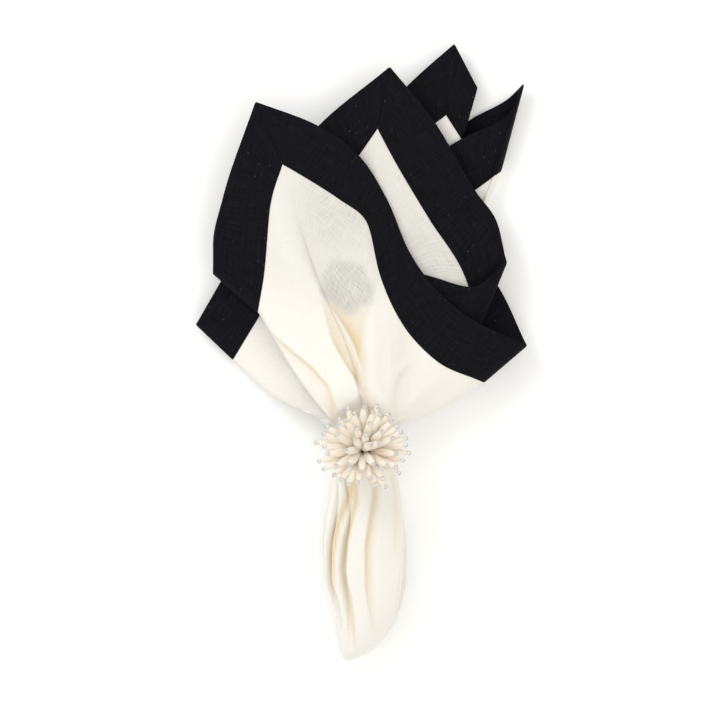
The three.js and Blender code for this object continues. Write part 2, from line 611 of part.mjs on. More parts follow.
// One black strip of the border, mitred at both ends, from its seam to its outer edge
function borderStrip(grid, facing, places, side) {
  const first = places.findIndex((at) => Math.abs(at - side * CLOTH_SIDE) < 0.01);
  const next = places.findIndex((at) => Math.abs(at - (side + 1) * CLOTH_SIDE) < 0.01);
  const last = next < 0 ? grid.length : next;
  const own = Array.from({ length: last - first + 1 }, (_, i) => (first + i) % grid.length);
  const shortened = own.map((i) => {
    const [seam, edge] = grid[i].slice(-2);
    return [mix(seam, edge, SEAM_GAP / BORDER_WIDTH), mix(seam, edge, 0.5), edge];
  });
  const ways = own.map((i) => {
    const [seam, edge] = facing[i].slice(-2);
    return [seam, edge, edge];
  });
  const end = shortened.length - 1;
  shortened[0] = shortened[0].map((point, j) => stepToward(point, shortened[1][j], MITRE_GAP));
  shortened[end] = shortened[end].map((point, j) => stepToward(point, shortened[end - 1][j], MITRE_GAP));
  return sheetSolid(shortened, ways, BORDER_THICKNESS);
}

function stepToward(point, other, step) {
  const far = Math.hypot(...point.map((v, k) => other[k] - v));
  return mix(point, other, step / far);
}

// The ring's band, round inside, with a small flat that it lies on
function ringBand() {
  const flat = Math.acos(RING_AXIS_HEIGHT / RING_OUTER_RADIUS);
  const outline = new THREE.Shape();
  outline.absarc(0, 0, RING_OUTER_RADIUS, -Math.PI / 2 + flat, (3 * Math.PI) / 2 - flat, false);
  const bore = new THREE.Path();
  bore.absarc(0, 0, RING_INNER_RADIUS, 0, 2 * Math.PI, true);
  outline.holes.push(bore);
  const band = new THREE.ExtrudeGeometry(outline, { depth: RING_WIDTH, bevelEnabled: false, curveSegments: 44 });
  band.translate(0, 0, -RING_WIDTH / 2);
  band.rotateX(Math.PI / 2);
  return band;
}

// The flower: a domed pad with long bead petals fused into it, each with a small crystal on its tip
async function beadFlower() {
  const wasm = await Module();
  wasm.setup();
  const solid = (geometry) => {
    geometry.deleteAttribute('normal');
    geometry.deleteAttribute('uv');
    const merged = mergeVertices(geometry, 1e-4);
    return new wasm.Manifold(new wasm.Mesh({
      numProp: 3,
      vertProperties: new Float32Array(merged.attributes.position.array),
      triVerts: new Uint32Array(merged.index.array),
    }));
  };
  const dome = [[0, 0], [PAD_RADIUS, 0], [PAD_RADIUS, PAD_EDGE_HEIGHT]];
  for (let step = 1; step <= 4; step += 1) {
    const turn = (step * Math.PI) / 8;
    dome.push([PAD_RADIUS * Math.cos(turn), PAD_EDGE_HEIGHT + PAD_DOME_HEIGHT * Math.sin(turn)]);
  }
  dome[dome.length - 1][0] = 0;
  const pad = new THREE.LatheGeometry(dome.map(([r, h]) => new THREE.Vector2(r, h)), 20);
  pad.rotateX(Math.PI / 2);
  let flower = solid(pad);
  for (const tier of PETAL_TIERS) {
    for (let k = 0; k < tier.count; k += 1) {
      const wobble = Math.sin(k * 2.4 + tier.turn);
      const turn = tier.turn + (360 * k) / tier.count + 4 * wobble;
      flower = flower.add(solid(petal(turn, tier.rise + 3 * wobble, tier.reach * (1 + 0.04 * wobble))));
    }
  }
  const mesh = flower.getMesh();
  const geometry = new THREE.BufferGeometry();
  geometry.setAttribute('position', new THREE.BufferAttribute(new Float32Array(mesh.vertProperties), 3));
  geometry.setIndex(new THREE.BufferAttribute(new Uint32Array(mesh.triVerts), 1));
  return geometry;
}

// One petal: a slim spindle from inside the pad out to its crystal, turned round the pad and raised
function petal(turn, rise, reach) {
  const neck = reach - 1.6 * CRYSTAL_RADIUS;
  const profile = [
    [0, 3],
    [PETAL_RADIUS * 0.7, 3.2],
    [PETAL_RADIUS, reach * 0.55],
    [PETAL_RADIUS * 0.45, neck],
    [CRYSTAL_RADIUS, neck + CRYSTAL_RADIUS * 0.7],
    [0, reach],
  ];
  const spindle = new THREE.LatheGeometry(profile.map(([r, h]) => new THREE.Vector2(r, h)), PETAL_SIDES);
  const swing = (turn * Math.PI) / 180;
  const lift = (rise * Math.PI) / 180;
  const direction = new THREE.Vector3(
    Math.cos(lift) * Math.cos(swing),
    0.88 * Math.cos(lift) * Math.sin(swing),
    Math.sin(lift),
  ).normalize();
  spindle.applyQuaternion(new THREE.Quaternion().setFromUnitVectors(new THREE.Vector3(0, 1, 0), direction));
  const squash = Math.hypot(Math.cos(swing), 0.88 * Math.sin(swing));
  spindle.scale(squash, squash, squash);
  spindle.translate(0, 0, PAD_EDGE_HEIGHT + 1);
  return spindle;
}

function meshOf(name, geometry, material) {
  const mesh = new THREE.Mesh(geometry, material);
  mesh.name = name;
  return mesh;
}

const ribs = makeRibs();
const places = columnPlaces(ribs);
const grid = clothGrid(ribs, places);
const facing = facingOf(grid);
const napkin = new THREE.Group();
napkin.add(meshOf('linen_ground', linenGround(grid, facing), LINEN_WHITE));
SIDES.forEach((side, i) => napkin.add(meshOf(`border_${side}`, borderStrip(grid, facing, places, i), LINEN_BLACK)));

const band = meshOf('ring_band', ringBand(), SILVER_METAL);
band.position.set(RING_X, RING_Y, RING_AXIS_HEIGHT);
napkin.add(band);

const flower = meshOf('bead_flower', await beadFlower(), IVORY_BEAD);
flower.position.set(RING_X + 0.5, RING_Y - 1.6, RING_AXIS_HEIGHT + RING_OUTER_RADIUS + 0.3);
napkin.add(flower);

export default napkin;
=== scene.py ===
import math
from collections import namedtuple
from types import SimpleNamespace

import bpy
import mathutils
import numpy as np
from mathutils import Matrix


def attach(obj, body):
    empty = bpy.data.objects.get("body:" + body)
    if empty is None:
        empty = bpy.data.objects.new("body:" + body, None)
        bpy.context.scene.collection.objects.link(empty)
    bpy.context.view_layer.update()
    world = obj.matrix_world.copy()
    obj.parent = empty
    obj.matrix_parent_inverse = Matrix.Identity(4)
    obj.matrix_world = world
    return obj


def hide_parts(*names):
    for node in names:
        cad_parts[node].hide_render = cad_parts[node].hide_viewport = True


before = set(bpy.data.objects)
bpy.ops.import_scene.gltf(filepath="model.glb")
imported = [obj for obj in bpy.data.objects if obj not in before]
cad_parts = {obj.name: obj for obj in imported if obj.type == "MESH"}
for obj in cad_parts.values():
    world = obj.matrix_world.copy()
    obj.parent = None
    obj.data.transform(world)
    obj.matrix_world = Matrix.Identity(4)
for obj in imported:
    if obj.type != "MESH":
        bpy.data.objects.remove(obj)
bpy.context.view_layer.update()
bpy.ops.object.select_all(action="DESELECT")

# The linen ground. A square of white linen, drawn by its middle through the ring into the tail
# below it, with its four corners fanned out above in flat folds. It is laid out along ribs, lines
# that run from its middle, through the ring, out to the hem. Sizes are in mm.
SIDE = 533.0
BORDER = 31.5
HEM_LENGTH = 4 * SIDE
RING_X, RING_Y, RING_HEIGHT = 0.3, -55.65, 20.5
RING_WIDTH = 16.0
REACH_IN_RING = 17.5
NECK_Y, NECK_SPREAD, NECK_BEND = -41.2, 1.25, 1.1
# From the middle of one layer to the next where they touch, and from the lowest to the table
LAYER_PITCH = 1.95
LOWEST_MIDDLE = 0.65
# Within this of a fold's edge its own two layers come together
FOLD_REACH = 8.0
# A fold's rounded edge: how much of its bend lies along the hem on each side, half its degrees
# round the tail, and how deep its sides are tucked in there
FOLD_ALONG_HEM, FOLD_TURN, TUCK_BESIDE = 0.8, 3.5, 0.94
# The view from above that the folds are placed in: pixels a mm, and the pixel above the origin
VIEW_SCALE, VIEW_X, VIEW_Y = 1.7, 361.5, 352.9

# The hem, a row for each fold, corner or swell met on the way round it.
# side and along: where it is on the flat square, the side's number and mm along that side.
# bend: how far apart the two layers of a fold lie, 0 where the hem only passes.
# seam and edge: the border's inner and outer edge, as pixels across and down, mm above the table.
HEM = [
    # name, side, along, bend, seam, edge
    ("cornerA", 0, 0, 0, (282.5, 164.4, 33), (255.4, 101.5, 30)),
    ("frontLeft", 0, 58, 0, (270.5, 205, 31), (223, 197, 26)),
    ("frontLeftLow", 0, 92, 0, (264, 275, 25), (213, 245, 22)),
    ("foldFrontLeft", 0, 112, 7, (257.8, 312, 20.5), (213, 273, 20)),
    ("foldBehindRight", 0, 230, 3, (398, 316, 23), (398, 262, 22.5)),
    ("foldBehindLeft", 0, 280, 3, (318, 312, 17.5), (318, 258, 17)),
    ("veeLeft", 0, 342, 0, (425, 328, 22), (422, 274, 22)),
    ("veeMiddle", 0, 372, 0, (458, 338, 24.5), (472, 287, 26)),
    ("foldCurl", 0, 403, 7, (481, 324, 21.5), (506.5, 262, 22)),
    ("secondRightLow", 0, 425, 0, (462, 270, 20.5), (497, 222, 21)),
    ("secondRight", 0, 448, 0, (431, 222, 21), (474.9, 190.3, 20.5)),
    ("secondRightHigh", 0, 495, 0, (393, 158, 24), (434.2, 121.3, 22.5)),
    ("cornerB", 1, 0, 0, (377.5, 128.7, 25), (389.8, 66.5, 24)),
    ("secondLeft", 1, 62, 0, (350, 169, 20.5), (311, 134, 18)),
    ("secondLeftLow", 1, 125, 0, (296, 256, 14), (252, 228, 12.5)),
    ("foldLowLeft", 1, 190, 3, (233.2, 359.3, 8), (196.2, 324, 8)),
    ("foldUnderRight", 1, 262, 3, (320, 280, 6.8), (285, 240, 6.4)),
    ("foldUnderLeft", 1, 317, 3, (255, 340, 3.6), (222, 300, 3.4)),
    ("thirdLeft", 1, 412, 0, (371, 208, 8.5), (331, 174, 5.5)),
    ("thirdLeftHigh", 1, 475, 0, (410, 144, 11), (408.3, 84.8, 9)),
    ("cornerC", 2, 0, 0, (446, 115.1, 11.5), (454.4, 43.6, 10)),
    ("foldThirdRight", 2, 30, 3.2, (462, 140, 9.8), (477, 87, 9.4)),
    ("foldBackLeft", 2, 158, 3, (333, 262, 5.9), (303, 215, 5.8)),
    ("foldBackRight", 2, 254, 3, (455, 218, 4.9), (455, 165, 4.9)),
    ("foldLastLeft", 2, 354, 3, (338, 290, 2.8), (305, 245, 2.8)),
    ("lastMiddle", 2, 430, 0, (434, 211, 2.2), (406, 168, 2.0)),
    ("lastRight", 2, 497, 0, (497, 160, 2.5), (473.7, 117.6, 2)),
    ("fingerFar", 2, 520, 0, (499.7, 167.3, 6), (508.5, 98.5, 4.5)),
    ("cornerD", 3, 0, 9, (501, 171, 8.2), (523.7, 83.8, 9)),
    ("fingerNear", 3, 18, 0, (491.5, 178, 10.2), (511, 112.5, 12.5)),
    ("fourthRight", 3, 51, 0, (474.9, 190.3, 12.5), (462.1, 138.5, 13.5)),
    ("foldFourthLeft", 3, 136, 4, (369, 259, 13.5), (340, 215, 13.2)),
    ("insideRight", 3, 216, 0, (445, 301, 14.5), (470, 255, 14)),
    ("insideRightLow", 3, 241, 0, (456, 317, 14), (498.3, 286.5, 12.5)),
    ("foldFrontRight", 3, 279, 10, (483.5, 382.2, 20), (526.7, 345.2, 19)),
    ("frontRightLow", 3, 318, 0, (444, 366, 31), (478.1, 323, 30)),
    ("frontRight", 3, 350, 0, (405, 328, 34), (441.6, 295.2, 30)),
    ("frontRightWaist", 3, 390, 0, (380.4, 276.7, 36.5), (409.5, 252, 27)),
    ("frontRightRidge", 3, 428, 0, (366, 221, 37), (387.3, 200.2, 27)),
    ("frontRightHigh", 3, 462, 0, (338, 198.5, 35.5), (359, 155.8, 29)),
    ("frontTopRight", 3, 494, 0, (294, 171, 33.5), (317.5, 125.5, 29.5)),
]
# Where each rib passes the ring, in mm from its axis and above the table, how far apart a fold's
# layers lie there, its turn round the tail in degrees, and 1 where it is a valley.
IN_RING = {
    # name: across, height, bend, turn, tuck
    "cornerA": (1, 36.2, 0, 80, 0),
    "frontLeft": (-2.5, 37.6, 0, 86, 0),
    "frontLeftLow": (-8, 36, 0, 92, 0),
    "foldFrontLeft": (-11.5, 34.4, 2.4, 98, 0),
    "foldBehindRight": (10, 32.4, 2.2, 113, 1),
    "foldBehindLeft": (-14.4, 30.2, 2.2, 128, 0),
    "foldCurl": (13, 28, 2.2, 143, 1),
    "foldLowLeft": (-17.4, 23.6, 6.6, 162, 0),
    "foldUnderRight": (14.3, 19.3, 2.2, 184, 1),
    "foldUnderLeft": (-17.2, 17.1, 2.2, 200, 0),
    "foldThirdRight": (13.7, 14.9, 2.2, 213, 1),
    "foldBackLeft": (-15.8, 12.7, 2.2, 226, 0),
    "foldBackRight": (11.6, 10.5, 2.2, 239, 1),
    "foldLastLeft": (-12.5, 8.3, 2.2, 252, 0),
    "lastMiddle": (-2, 3.2, 0, 275, 0),
    "lastRight": (8, 5.2, 0, 300, 0),
    "cornerD": (17.4, 18.5, 6, 337, 0),
    "foldFourthLeft": (-14.2, 23.7, 2.2, 365, 1),
    "foldFrontRight": (16.3, 27.4, 4.5, 382, 0),
    "frontRightLow": (13.2, 32.1, 0, 394, 0),
    "frontRight": (10.5, 34.6, 0, 404, 0),
    "frontRightWaist": (7.5, 36.4, 0, 415, 0),
    "frontRightRidge": (4, 37.6, 0, 426, 0),
    "frontRightHigh": (2.5, 36.6, 0, 432, 0),
    "frontTopRight": (1.7, 36.2, 0, 436, 0),
}
# Where the layers of the two folds that wrap round the others in the ring start and end there
WRAPS = {"cornerD": ((17, 14.5), (15.6, 22.6)), "foldFrontRight": ((14.2, 24.9), (15.6, 29.3))}
# Where the folds that show pass the neck just above the ring, and half way from there to the border
SHOWN = {
    # name: neck, middle
    "cornerA": ((360, 393, 38), (312, 262, 33)),
    "frontLeft": ((357.5, 399, 40), (316, 291, 37.5)),
    "frontLeftLow": ((345, 408, 38), (301, 345, 33)),
    "foldFrontLeft": ((331, 420, 33), (299, 379, 29)),
    "foldLowLeft": ((325, 424, 20), (273, 396, 11.5)),
    "foldFrontRight": ((405, 424, 27), (445, 407, 22)),
    "frontRightLow": ((398, 423, 29.5), (427, 399, 28)),
    "frontRight": ((392, 421, 33), (405, 385, 33)),
    "frontRightWaist": ((383, 416, 36.5), (384, 356, 36)),
    "frontRightRidge": ((368, 402, 38.5), (369, 318, 38)),
    "frontRightHigh": ((362.5, 395, 38), (349, 298, 32.5)),
    "frontTopRight": ((361, 394, 37.8), (331, 279, 32.5)),
}
# The tail, a row for each section from the ring down to its rounded end.
# layered: 1 where the cloth still lies as in the ring, 0 where it is a pleated tube.
# pleat: how deep its tucks go. gather: how deep the small pleats round its back go.
# twist: how far the folds of its front lean over, in degrees.
TAIL_COLUMNS = ("down", "left", "right", "low", "high", "layered", "pleat", "gather", "twist")
TAIL = [
    (477, 331, 398, 1.6, 37, 0.92, 0.66, 0.1, -14),
    (496, 328.5, 403, 1.0, 35, 0.76, 0.62, 0.2, -14),
    (519, 323.5, 406.5, 0.65, 33, 0.54, 0.58, 0.26, -8),
    (547, 321, 409.5, 0.65, 31.5, 0.32, 0.52, 0.28, 7),
    (577, 323, 409, 0.65, 30.5, 0.14, 0.43, 0.28, 14),
    (602, 330.8, 403.5, 0.65, 29, 0.04, 0.32, 0.26, 11),
    (627, 334.8, 392.5, 0.65, 26.5, 0, 0.18, 0.2, 5),
    (645, 338.2, 378.5, 1.6, 22.5, 0, 0.05, 0.1, 0),
    (657.5, 342.6, 359, 5, 16.5, 0, 0, 0, 0),
    (661, 348.5, 348.5, 10, 10, 0, 0, 0, 0),
]
# The layers above the ring, from the table up, each by the fold that it starts from
LAYERS_UP = [
    "foldLastLeft", "foldBackRight", "foldBackLeft", "foldThirdRight", "foldUnderLeft",
    "foldUnderRight", "foldLowLeft", "cornerD", "foldFourthLeft", "foldCurl", "foldBehindLeft",
    "foldBehindRight", "foldFrontLeft", "foldFrontRight",
]


def x_at(across):
    return (across - VIEW_X) / VIEW_SCALE


def spot(point):
    """A point of the view, pixels across and down and mm above the table, as mm from the origin."""
    return np.array([x_at(point[0]), (VIEW_Y - point[1]) / VIEW_SCALE, point[2]], float)


def in_view(points):
    """Where points in mm are seen, in pixels across and down the view."""
    return points[..., 0] * VIEW_SCALE + VIEW_X, VIEW_Y - points[..., 1] * VIEW_SCALE


def tail_at(down, *names):
    """The tail's columns of those names, at each place down the view."""
    columns = dict(zip(TAIL_COLUMNS, zip(*TAIL)))
    return [np.interp(down, columns["down"], columns[name]) for name in names]


def mix(a, b, share):
    return a + (b - a) * share


def slopes(at, values):
    """Slopes of the smooth curve through values that never swings past them."""
    step = np.diff(at).reshape((-1,) + (1,) * (values.ndim - 1))
    rise = np.diff(values, axis=0) / step
    a, b = rise[:-1], rise[1:]
    before, after = 2 * step[1:] + step[:-1], step[1:] + 2 * step[:-1]
    with np.errstate(divide="ignore", invalid="ignore"):
        between = (before + after) / (before / a + after / b)
    result = np.empty_like(values)
    result[0], result[-1] = rise[0], rise[-1]
    result[1:-1] = np.where(a * b > 0, between, 0)
    return result


def along(at, values, where, leaving=None, arriving=None):
    """The smooth curve's value at each place in where."""
    at, values, where = np.asarray(at, float), np.asarray(values, float), np.asarray(where, float)
    if leaving is None:
        leaving = arriving = slopes(at, values)
    i = np.clip(np.searchsorted(at, where, "right") - 1, 0, len(at) - 2)
    span = (at[i + 1] - at[i]).reshape((-1,) + (1,) * (values.ndim - 1))
    t = ((where - at[i]) / (at[i + 1] - at[i])).reshape(span.shape)
    start = (2 * t**3 - 3 * t**2 + 1) * values[i] + (t**3 - 2 * t**2 + t) * span * leaving[i]
    return start + (3 * t**2 - 2 * t**3) * values[i + 1] + (t**3 - t**2) * span * arriving[i + 1]


def share_ring(ribs):
    """Ribs with no place of their own in the ring pass it evenly between those that have one."""
    known = [rib for rib in ribs if rib.known]
    at = [rib.at for rib in known] + [known[0].at + HEM_LENGTH]
    for rib in ribs:
        if not rib.known:
            for key in ("x", "height", "turn", "tuck"):
                values = [getattr(other, key) for other in known]
                values.append(values[0] + (360 if key == "turn" else 0))
                setattr(rib, key, float(np.interp(rib.at, at, values)))


def layer_beside(rib, neighbour, above, way):
    """One layer of a fold, half its bend in from its edge and half of it above or below."""
    at_neck = rib.ring_bend * NECK_BEND
    bends = {"neck": at_neck, "middle": (at_neck + rib.bend) / 2}
    points = {}
    for key, point in rib.points.items():
        toward = neighbour.points[key][:2] - point[:2]
        half = bends.get(key, rib.bend) / 2
        step = toward / (np.hypot(*toward) or 1) * half
        points[key] = point + np.array([step[0], step[1], above * half])
    side = np.sign(neighbour.x - rib.x)
    x, height = rib.x + side * rib.ring_bend / 2, rib.height + above * rib.ring_bend / 2
    if rib.name in WRAPS:
        x, height = WRAPS[rib.name][0 if way < 0 else 1]
    fresh = dict(vars(rib), at=rib.at + way * FOLD_ALONG_HEM * rib.bend, x=x, height=height,
                 points=points, turn=rib.turn + way * FOLD_TURN, tuck=rib.tuck * TUCK_BESIDE,
                 corner=False, edge_of_fold=False)
    return SimpleNamespace(**fresh)


def make_ribs():
    """The ribs in order round the hem, three for each fold: its two layers and its edge."""
    main = []
    for name, side, run, bend, seam, edge in HEM:
        known = name in IN_RING
        x, height, ring_bend, turn, tuck = IN_RING.get(name, (0, 0, 0, 0, 0))
        main.append(SimpleNamespace(
            name=name, at=side * SIDE + run, bend=bend, known=known, x=x, height=height, turn=turn,
            ring_bend=ring_bend, tuck=tuck, corner=name.startswith("corner"), edge_of_fold=False,
            points={"seam": spot(seam), "edge": spot(edge)}))
    share_ring(main)

    def by_ring(rib):
        rib.points["neck"] = np.array([RING_X + rib.x * NECK_SPREAD, NECK_Y, rib.height])
        rib.points["middle"] = mix(rib.points["neck"], rib.points["seam"], 0.5)

    for rib in main:
        by_ring(rib)
        if rib.name in SHOWN:
            rib.points["neck"], rib.points["middle"] = map(spot, SHOWN[rib.name])
    ribs = []
    for i, rib in enumerate(main):
        before, after = main[i - 1], main[(i + 1) % len(main)]
        above = np.sign(before.height - after.height)
        if rib.bend:
            rib.edge_of_fold = True
            ribs += [layer_beside(rib, before, above, -1), rib, layer_beside(rib, after, -above, 1)]
        else:
            ribs.append(rib)
    share_ring(ribs)
    for rib in ribs:
        reach = np.array([rib.x, rib.height - RING_HEIGHT])
        reach *= min(1, REACH_IN_RING / np.hypot(*reach))
        rib.x, rib.height = reach[0], RING_HEIGHT + reach[1]
        if not rib.known and rib.name not in SHOWN:
            by_ring(rib)
    return ribs


# How many rows there are from one stop of a rib to the next, from the tail's tip: its sections,
# into and through the ring, out to the neck, half way, and the border's seam
ROWS_BETWEEN = [3] + [4] * 8 + [3, 2, 2, 5, 22, 30]
RING_ROW = sum(ROWS_BETWEEN[:len(TAIL) + 1])
FIRST_NECK_ROW = sum(ROWS_BETWEEN[:-2])
SEAM_ROW = sum(ROWS_BETWEEN)
# The places inside the ring that a rib passes, as shares of the ring's width from its middle
PLACES_IN_RING = (-0.55, 0, 0.55)
# The front of the tail, whose folds lean over, in degrees round it from its right side
FRONT_START, FRONT_SPAN = 30, 150


def rib_rows(rib):
    """A rib's points from the tail's tip to the border's seam, one for each row of the mesh."""
    reach = np.array([rib.x, rib.height - RING_HEIGHT]) / REACH_IN_RING
    in_front = max(0, math.sin(math.pi * (rib.turn - FRONT_START) / FRONT_SPAN))
    stops = []
    for down, left, right, low, high, layered, pleat, _, twist in reversed(TAIL):
        turn = math.radians(rib.turn + twist * in_front)
        round_the_tail = np.array([math.cos(turn), math.sin(turn)]) * (1 - pleat * rib.tuck)
        x, z = mix(round_the_tail, reach, layered)
        across = (left + right) / 2 + x * (right - left) / 2
        stops.append(spot((across, down, (low + high) / 2 + z * (high - low) / 2)))
    for share in PLACES_IN_RING:
        stops.append(np.array([RING_X + rib.x, RING_Y + share * RING_WIDTH, rib.height]))
    stops += [rib.points["neck"], rib.points["middle"], rib.points["seam"]]
    stops = np.array(stops)
    steps = np.linalg.norm(np.diff(stops, axis=0), axis=1) + 1e-6
    reached = np.concatenate([[0], np.cumsum(steps)])
    where = [mix(reached[i], reached[i + 1], j / count)
             for i, count in enumerate(ROWS_BETWEEN) for j in range(count)]
    return along(reached, stops, where + [reached[-1]])


# How far apart the columns of the mesh stand along the hem, and how many times closer where folds
# cross the ribs at a slant
COLUMN_SPACING = 3.2
CLOSER = {"frontLeft": 1.5, "frontLeftLow": 5, "frontRightWaist": 1.5, "frontRight": 1.3}
COLUMNS_BESIDE_FOLD = 3


def column_places(ribs):
    """Where the columns of the mesh stand, in mm along the hem."""
    places = []
    for i, rib in enumerate(ribs):
        after = ribs[(i + 1) % len(ribs)]
        end = after.at if i + 1 < len(ribs) else after.at + HEM_LENGTH
        least = COLUMNS_BESIDE_FOLD if rib.edge_of_fold or after.edge_of_fold else 1
        count = max(least, round((end - rib.at) / COLUMN_SPACING * CLOSER.get(rib.name, 1)))
        places += [rib.at + (end - rib.at) * j / count for j in range(count)]
    return np.array(places)


def row_around(ribs, points, crisp, places):
    """A row of the cloth right round the hem. crisp is 1 where the four corners are sharp."""
    count, overlap = len(ribs), 3
    turns, order = np.divmod(np.arange(-overlap, count + overlap), count)
    at = np.array([ribs[i].at for i in order]) + HEM_LENGTH * turns
    values = points[order]
    leaving = slopes(at, values)
    arriving = leaving.copy()
    chord = np.diff(values, axis=0) / np.diff(at)[:, None]
    for k in range(1, len(order) - 1):
        if ribs[order[k]].corner:
            leaving[k] = mix(leaving[k], chord[k], crisp)
            arriving[k] = mix(arriving[k], chord[k - 1], crisp)
    return along(at, values, places, leaving, arriving)


# The plan of square cells on which the layers above the ring settle on each other
PLAN_CELL, PLAN_HIGH, PLAN_WIDE = 4.0, 54, 56
PLAN_CORNER = spot((190, 440, 0))[:2]
# Over this many rows above the neck, the rise of a layer grows from half to the whole
ROWS_OF_RISE = 8


def plan_near(values, combine):
    """Each cell of a plan together with the eight round it."""
    wide = np.pad(values, 1, constant_values=0)
    return combine([wide[a:a + PLAN_HIGH, b:b + PLAN_WIDE] for a in range(3) for b in range(3)],
                   axis=0)


def plan_cells(points):
    return np.floor((points[:, :2] - PLAN_CORNER) / PLAN_CELL).astype(int).T


def samples(block):
    """The points of a block of the grid, with those half way between its rows and columns."""
    rows = np.arange(0, block.shape[1] - 1 + 1e-6, 0.5)
    k = np.minimum(rows.astype(int), block.shape[1] - 2)
    half = block[:, k] + (block[:, k + 1] - block[:, k]) * (rows - k)[None, :, None]
    return np.concatenate([half, (half[1:] + half[:-1]) / 2]).reshape(-1, 3)


def highest(points):
    u, v = plan_cells(points)
    inside = (u >= 0) & (u < PLAN_WIDE) & (v >= 0) & (v < PLAN_HIGH)
    plan = np.full((PLAN_HIGH, PLAN_WIDE), -100.0)
    np.maximum.at(plan, (v[inside], u[inside]), points[inside, 2])
    return plan


def settle_layers(grid, places, fold_at):
    """Each layer above the ring is raised until it clears those below it, cell by cell."""
    cells = np.stack(np.meshgrid(np.arange(PLAN_WIDE), np.arange(PLAN_HIGH)), -1) + 0.5
    middles = cells * PLAN_CELL + PLAN_CORNER
    lift, times = np.zeros(grid.shape[:2]), np.zeros(grid.shape[0])
    below = []
    folds = sorted(fold_at, key=fold_at.get)
    for start in LAYERS_UP:
        end = folds[(folds.index(start) + 1) % len(folds)]
        span = (fold_at[end] - fold_at[start]) % HEM_LENGTH
        since = (places - fold_at[start]) % HEM_LENGTH
        own = np.where(since <= span + 0.01)[0]
        own = own[np.argsort(since[own])]
        block = grid[own, FIRST_NECK_ROW:]
        floor = np.full((PLAN_HIGH, PLAN_WIDE), LOWEST_MIDDLE)
        for ends, top in below:
            wanted = top + LAYER_PITCH
            for name in ends & {start, end}:
                line = grid[np.argmin(abs(places - fold_at[name])), FIRST_NECK_ROW:, :2]
                away = np.linalg.norm(middles[:, :, None] - line[None, None], axis=-1)
                wanted = np.where(np.min(away, axis=-1) < FOLD_REACH, 0, wanted)
            floor = np.maximum(floor, wanted)
        points = samples(block)
        u, v = plan_cells(points)
        u, v = np.clip(u, 0, PLAN_WIDE - 1), np.clip(v, 0, PLAN_HIGH - 1)
        need = np.zeros((PLAN_HIGH, PLAN_WIDE))
        np.maximum.at(need, (v, u), floor[v, u] - points[:, 2])
        need = plan_near(plan_near(need, np.max), np.mean)
        last = [PLAN_WIDE - 1.001, PLAN_HIGH - 1.001]
        over = np.clip((block[..., :2] - PLAN_CORNER) / PLAN_CELL - 0.5, 0, last)
        u, v = over.transpose(2, 0, 1)
        a, b = u.astype(int), v.astype(int)
        s, t = u - a, v - b
        rise = (need[b, a] * (1 - s) + need[b, a + 1] * s) * (1 - t)
        rise += (need[b + 1, a] * (1 - s) + need[b + 1, a + 1] * s) * t
        rise *= np.clip(0.5 + 0.5 * np.arange(block.shape[1]) / ROWS_OF_RISE, 0, 1)
        raised = block.copy()
        raised[..., 2] += rise
        below.append(({start, end}, highest(samples(raised))))
        lift[own, FIRST_NECK_ROW:] += rise
        times[own] += 1
    grid[..., 2] += lift / np.maximum(1, times)[:, None]


# The hollows down the front of the tail: how deep each is and how far it spreads in mm, how warm
# its shadow is, and where it starts, bends and ends in the view
TAIL_HOLLOWS = [
    # deep, left, right, shade, downs, across
    (3.2, 2.6, 1.6, 1.3, (470, 497, 524, 556, 606), (351, 350, 338.5, 332.5, 333)),
    (2.2, 2.4, 1.0, 1.1, (470, 500, 540, 568, 650), (356, 357, 347.5, 344, 357)),
    (2.4, 0.9, 2.8, 0.8, (470, 500, 545, 590, 634), (376, 373, 366.7, 367, 374)),
    (1.6, 1.2, 2.2, 0.35, (462, 480, 500, 530, 560), (391, 392, 394, 395, 396)),
]


def press_tail(grid, shade):
    """The hollows of the tail's front, deepest near their middle and fading out at their ends."""
    x, down = grid[..., 0], in_view(grid)[1]
    low, high = tail_at(down, "low", "high")
    front = np.clip((grid[..., 2] - (low + high) / 2) / np.maximum(1, (high - low) / 2), 0, 1)
    for deep, leftward, rightward, warmth, downs, across in TAIL_HOLLOWS:
        centre = x_at(np.interp(down, downs, across))
        share = np.clip((down - downs[0]) / (downs[-1] - downs[0]), 0, 1)
        fade = np.where(down > downs[-1], 0, np.sin(np.pi * (0.3 + 0.7 * share)) ** 0.5)
        fade = np.where(down < TAIL[0][0], 0, np.nan_to_num(fade))
        wide = np.where(x < centre, leftward, rightward)
        hollow = fade * np.exp(-(((x - centre) / wide) ** 2))
        grid[..., 2] -= deep * hollow * front
        shade += warmth * hollow * (front > 0)


